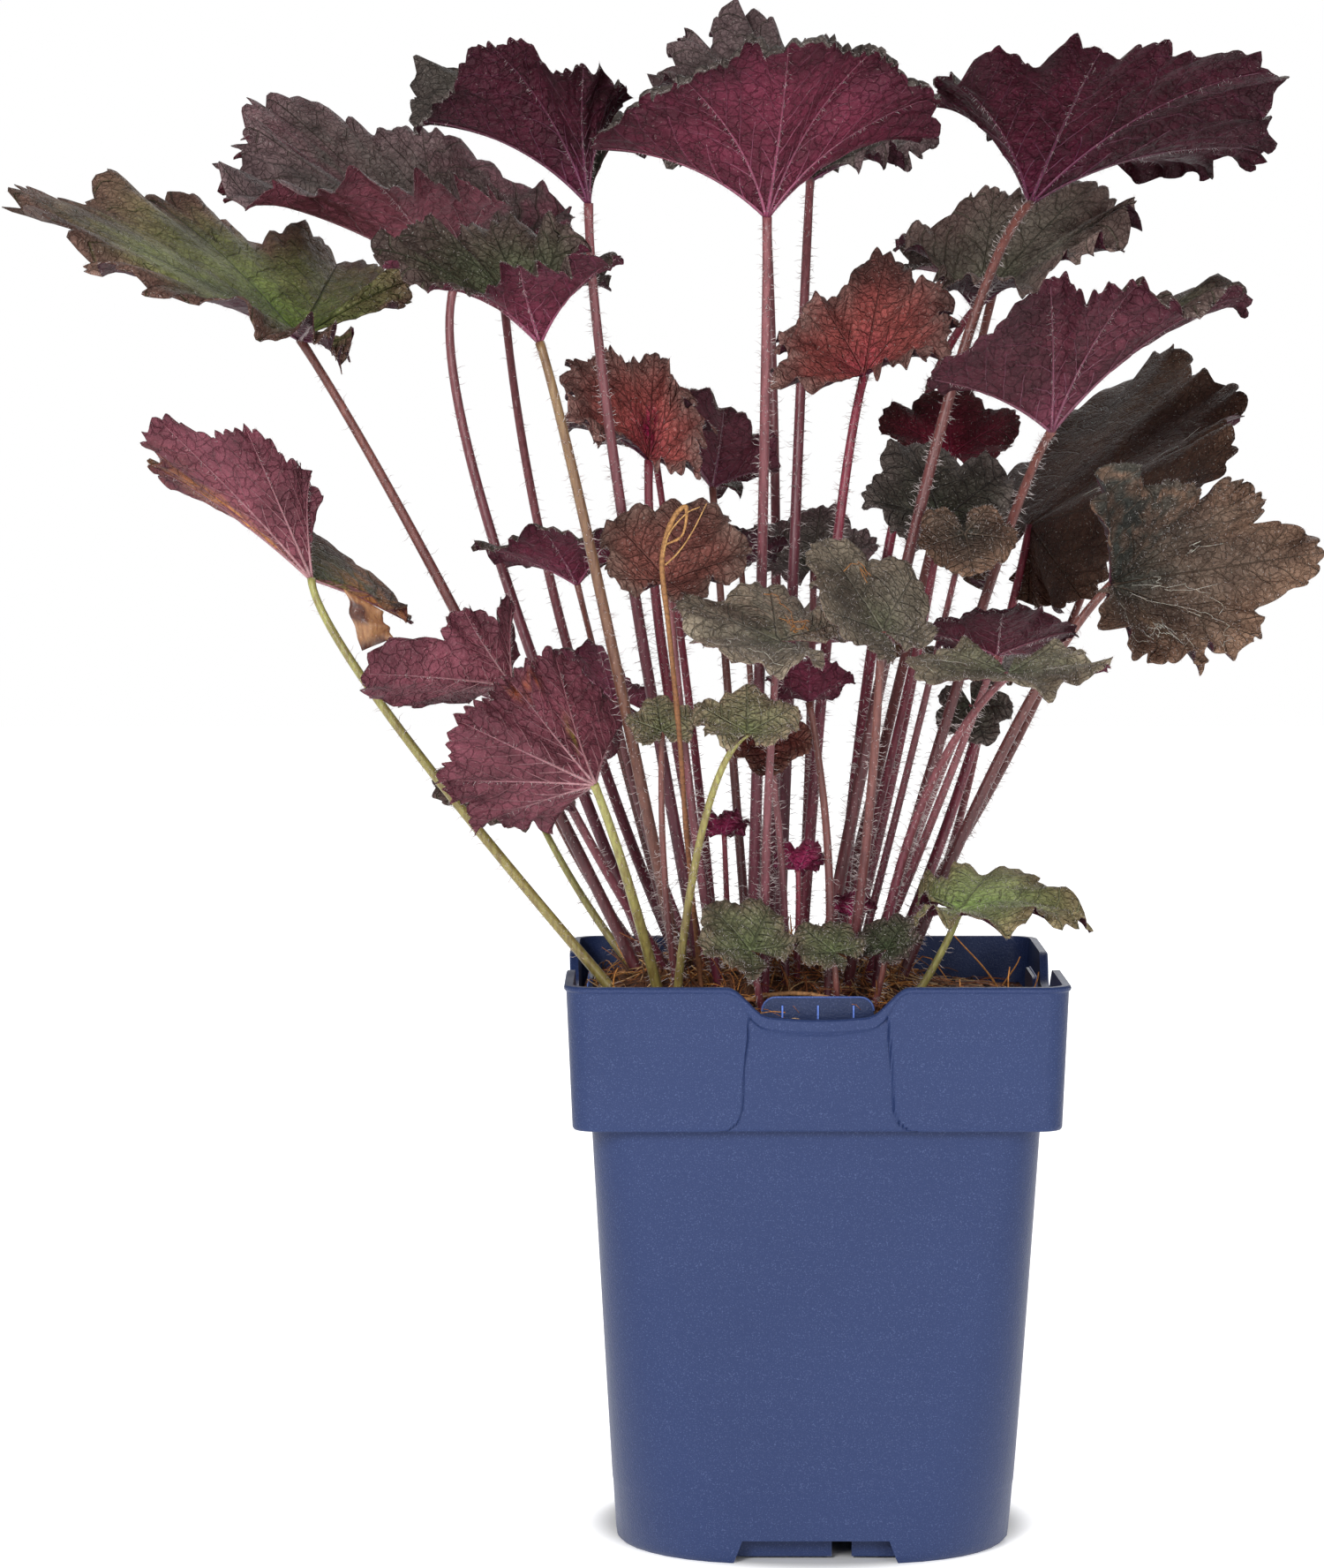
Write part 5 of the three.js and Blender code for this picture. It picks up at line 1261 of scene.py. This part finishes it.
def make_soil():
    rings = [body_level(FLOOR_TOP + SOIL_GAP, BODY_WALL + SOIL_GAP), body_level(60, BODY_WALL + SOIL_GAP),
             body_level(COLLAR_BASE, BODY_WALL + SOIL_GAP + 0.3)]
    flat = soil_edge(0.985)
    rings.append(np.column_stack([flat, np.full(len(flat), COLLAR_BASE + SOIL_CREST)]))
    for scale in np.linspace(1, 0.004, SOIL_RINGS):
        flat = soil_edge(scale)
        z = soil_relief(flat[:, 0], flat[:, 1]) - SOIL_CREST * smooth(0.985, 1.0, scale)
        rings.append(np.column_stack([flat, z]))
    shape = Shape()
    shape.add(np.concatenate(rings), ring_faces(len(rings), len(rings[0])), 0, linear(0x33221A))
    soil = shape.build("peat_fill", [peat_material()])
    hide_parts("soil")
    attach(soil, "root")


FIBRE_COLOURS = [linear(c) for c in (0x9A5628, 0xB87238, 0xD89248, 0x744424, 0xE8BC84, 0x8A5632)]
CRUMB_COLOURS = [linear(c) for c in (0x40280F, 0x583820, 0x764A2A, 0x2A1A10)]
FIBRES = 1300
TUFTS = 170
CRUMBS = 900
LITTER_HALF = 68
STRAND_LIMIT = 68.5


def any_colour(rng, colours, dark, light):
    """One of the colours, darker or lighter by chance."""
    return colours[rng.integers(len(colours))] * rng.uniform(dark, light)


def add_fibre(shape, rng, x, y, length, rise, radius):
    """A strand of coir that starts in the peat at x, y."""
    t = np.linspace(0, 1, 6)
    heading = rng.uniform(0, 2 * math.pi)
    bend = rng.normal(0, 0.9)
    px = np.clip(x + length * t * np.cos(heading + bend * t), -STRAND_LIMIT, STRAND_LIMIT)
    py = np.clip(y + length * t * np.sin(heading + bend * t), -STRAND_LIMIT, STRAND_LIMIT)
    arch = rise * np.sin(np.pi * np.minimum(1, t * rng.uniform(0.6, 1.1)))
    z = soil_height(px, py) + 0.6 + arch + rng.uniform(-1.0, 0.6)
    strand = tube(np.column_stack([px, py, z]), radius * (1.05 - 0.5 * t), 3)
    shape.add(*strand, 0, any_colour(rng, FIBRE_COLOURS, 0.6, 1.15))


def add_tuft(shape, rng, x, y):
    """A dry scale or old stalk base that stands at the crown."""
    t = np.linspace(0, 1, 5)
    lean = rng.normal(0, 0.35, 2) + (0.012 * x, 0.012 * y)
    height = rng.uniform(4, 15)
    path = np.column_stack([x + lean[0] * height * t ** 1.5, y + lean[1] * height * t ** 1.5,
                            soil_height(x, y) - 1.5 + height * t])
    scale = tube(path, rng.uniform(0.25, 0.7) * (1 - 0.75 * t), 4)
    shape.add(*scale, 0, any_colour(rng, FIBRE_COLOURS, 0.45, 0.9))


GOLDEN = (1 + 5 ** 0.5) / 2
ICOSAHEDRON = np.array([(-1, GOLDEN, 0), (1, GOLDEN, 0), (-1, -GOLDEN, 0), (1, -GOLDEN, 0), (0, -1, GOLDEN),
                        (0, 1, GOLDEN), (0, -1, -GOLDEN), (0, 1, -GOLDEN), (GOLDEN, 0, -1), (GOLDEN, 0, 1),
                        (-GOLDEN, 0, -1), (-GOLDEN, 0, 1)])
ICOSAHEDRON_FACES = [(0, 11, 5), (0, 5, 1), (0, 1, 7), (0, 7, 10), (0, 10, 11), (1, 5, 9), (5, 11, 4),
                     (11, 10, 2), (10, 7, 6), (7, 1, 8), (3, 9, 4), (3, 4, 2), (3, 2, 6), (3, 6, 8),
                     (3, 8, 9), (4, 9, 5), (2, 4, 11), (6, 2, 10), (8, 6, 7), (9, 8, 1)]


def add_crumb(shape, rng):
    """A lump of peat: an icosahedron with uneven corners."""
    x, y = rng.uniform(-LITTER_HALF, LITTER_HALF, 2)
    size = rng.uniform(0.5, 1.9) * rng.uniform(0.6, 1.0)
    points = ICOSAHEDRON * rng.uniform(0.55, 1.1, (12, 1)) * rng.uniform(0.5, 1.0, 3) * size / GOLDEN
    points = points + (x, y, soil_relief(x, y) + 0.25 * size)
    shape.add(points, ICOSAHEDRON_FACES, 0, any_colour(rng, CRUMB_COLOURS, 0.7, 1.4))


# Twigs that stand up from the peat: foot x, y, lean in x, height.
TWIGS = [(57, -48, 1.5, 19), (44, -52, -0.5, 15), (62, 5, -17, 22), (66, -20, 2, 14), (-62, -30, 3, 12),
         (-56, 20, -4, 14), (60, 30, 6, 13), (-47, -55, 8, 10), (12, -60, -2, 9), (30, 48, 5, 15),
         (-30, 58, -6, 12)]


def make_litter():
    """Coir strands, scales round the crown, twigs and crumbs on the peat."""
    rng = np.random.default_rng(41)
    shape = Shape()
    for _ in range(FIBRES):
        x, y = rng.uniform(-66, 66, 2)
        long = rng.uniform(5, 24)
        add_fibre(shape, rng, x, y, long, abs(rng.normal(0, 2.8 if x < 32 else 0.9)), rng.uniform(0.12, 0.32))
    for _ in range(TUFTS):
        x, y = rng.normal(0, 17, 2) + (MOUND_X, -14)
        add_tuft(shape, rng, x, y)
    for x, y, lean, height in TWIGS:
        t = np.linspace(0, 1, 8)
        wobble = 0.8 * np.sin(5 * t + x)
        path = np.column_stack([x + lean * t + wobble, y + wobble, soil_height(x, y) - 2 + height * t])
        shape.add(*tube(path, 0.38 * (1 - 0.5 * t), 5), 0, FIBRE_COLOURS[2])
    for _ in range(CRUMBS):
        add_crumb(shape, rng)
    litter = shape.build("coir_and_crumbs", [fibre_material("coir")])
    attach(litter, "root")


def make_fallen_stalk():
    """The tan stalk that lies arched across the peat in front."""
    t = np.linspace(0, 1, 24)
    x = -27 + 46 * t
    y = -58 + 3 * np.sin(3 * t)
    z = soil_height(x, y) - 0.5 + 5.5 * np.sin(np.pi * (0.12 + 0.84 * t)) ** 0.8
    shape = Shape()
    shape.add(*tube(np.column_stack([x, y, z]), 0.75 - 0.2 * t, 9), 0, linear(0xB08050))
    piece = shape.build("fallen_stalk", [fibre_material("tan_stalk")])
    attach(piece, "root")


# ---------------------------------------------------------------- dried flower stalk
STRAW_RADIUS = 0.9
STRAW_POINTS = [(-33, -38, 158), (-36, -46, 190), (-39, -58, 222), (-41, -69, 250), (-44, -72, 280),
                (-46, -72, 300), (-43, -73, 312), (-39, -74, 316), (-40, -76, 308), (-45, -77, 305)]
STRAW_STRANDS = [
    [(-45, -72, 299), (-41, -73, 303), (-37, -74, 309), (-33, -75, 317)],
    [(-46, -72, 300), (-44, -74, 308), (-39, -75, 314), (-35, -75, 316)],
]
STRAW_STEPS = 90
STRAW_SIDES = 9
STRAND_STEPS = 20
STRAW_LOW = linear(0x7A4C2C)
STRAW_HIGH = linear(0xB4844C)


def spline(points, number):
    """A Catmull-Rom curve through points."""
    p = np.array(points, float)
    p = np.concatenate([[2 * p[0] - p[1]], p, [2 * p[-1] - p[-2]]])
    at = np.linspace(0, len(points) - 1 - 1e-9, number)
    k = at.astype(int)
    t = (at - k)[:, None]
    a, b, c, d = p[k], p[k + 1], p[k + 2], p[k + 3]
    square, cube = 2 * a - 5 * b + 4 * c - d, 3 * b - a - 3 * c + d
    return 0.5 * (2 * b + (c - a) * t + square * t ** 2 + cube * t ** 3)


def make_straw():
    """The dried flower stalk with its knots, thinner at the hook, and the strands at its broken end."""
    shape = Shape()
    t = np.linspace(0, 1, STRAW_STEPS)
    knots = 0.16 * np.exp(-((t * 7 % 1 - 0.5) * 9) ** 2)
    radius = STRAW_RADIUS * (0.84 - 0.52 * smooth(0.68, 0.92, t) + knots)
    colour = STRAW_LOW + (STRAW_HIGH - STRAW_LOW) * np.repeat(smooth(0.2, 0.9, t), STRAW_SIDES)[:, None]
    shape.add(*tube(spline(STRAW_POINTS, STRAW_STEPS), radius, STRAW_SIDES), 0, colour)
    for strand in STRAW_STRANDS:
        path = spline(strand, STRAND_STEPS)
        shape.add(*tube(path, np.linspace(0.3, 0.16, STRAND_STEPS), 6), 0, linear(0xBE9258))
    straw = shape.build("dry_flower_stalk", [fibre_material("dry_straw_skin")])
    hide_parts("dried_flower_stalk")
    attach(straw, "root")


# ---------------------------------------------------------------- stage
# Metres and watts: where each light stands, what it is aimed at, how wide it is and how strong.
LIGHTS = {
    "key": ((-0.75, -1.9, 1.0), (-0.03, 0, 0.25), 0.7, 32),
    "fill": ((0.9, -1.8, 0.5), (-0.03, 0, 0.25), 0.9, 10),
    "back": ((0.3, 1.5, 1.2), (-0.03, 0, 0.3), 1.0, 10),
}
SKY_LIGHT = 0.36
FLOOR_HALF = 4000
FLOOR_DEPTH = 20


def add_light(name, at, aim, size, power):
    data = bpy.data.lights.new(name, "AREA")
    data.shape, data.size, data.energy = "DISK", size, power
    light = bpy.data.objects.new(name, data)
    light.location = at
    direction = np.array(aim, float) - np.array(at, float)
    from_z = Vector(direction).to_track_quat("-Z", "Y")
    light.rotation_mode, light.rotation_quaternion = "QUATERNION", from_z
    bpy.context.scene.collection.objects.link(light)


def make_world():
    """White where the camera sees it, and a weaker light on the part."""
    world = bpy.data.worlds.new("studio")
    world.use_nodes = True
    tree = world.node_tree
    seen = tree.nodes.new("ShaderNodeLightPath").outputs["Is Camera Ray"]
    strength = tree.nodes.new("ShaderNodeMapRange")
    strength.inputs["To Min"].default_value, strength.inputs["To Max"].default_value = SKY_LIGHT, 1.0
    tree.links.new(seen, strength.inputs["Value"])
    tree.links.new(strength.outputs["Result"], tree.nodes["Background"].inputs["Strength"])
    tree.nodes["Background"].inputs["Color"].default_value = (1, 1, 1, 1)
    bpy.context.scene.world = world


def floor_material():
    """Pale, with a glow that starts past the pot's foot."""
    g = Graph("pale_floor")
    away = g.add("ShaderNodeVectorMath", {0: g.where()}, operation="LENGTH").outputs["Value"]
    return g.finish(g.principled(Base_Color=(0.9, 0.9, 0.9), Roughness=0.8, Emission_Color=(1.0, 1.0, 1.0),
                                 Emission_Strength=g.ramp(away, 0.058, 0.074, 0.0, 0.76)))


def make_stage():
    bpy.context.scene.view_settings.view_transform = "Standard"
    make_world()
    shape = Shape()
    low, high = (-FLOOR_HALF, -FLOOR_HALF, -FLOOR_DEPTH), (FLOOR_HALF, FLOOR_HALF, 0)
    shape.add(*slab(low, high), 0, 1.0)
    floor = shape.build("floor", [floor_material()], 30)
    for name, light in LIGHTS.items():
        add_light(name, *light)


def make_camera():
    data = bpy.data.cameras.new("camera")
    data.sensor_width, data.lens = SENSOR, LENS
    camera = bpy.data.objects.new("camera", data)
    camera.location = [c * MM for c in CAMERA_AT]
    camera.rotation_euler = (math.radians(90 - CAMERA_PITCH), 0, 0)
    bpy.context.scene.collection.objects.link(camera)
    bpy.context.scene.camera = camera


# ---------------------------------------------------------------- assembly
make_camera()
make_stage()
leaf_materials = [blade_material("leaf_upper_side", UPPER_FINISH),
                  blade_material("leaf_underside", UNDER_FINISH), stalk_material(), hair_material()]
for number, leaf_name in enumerate(LEAVES):
    make_leaf(number, leaf_name, leaf_materials)
make_pot()
make_soil()
make_litter()
make_fallen_stalk()
make_straw()
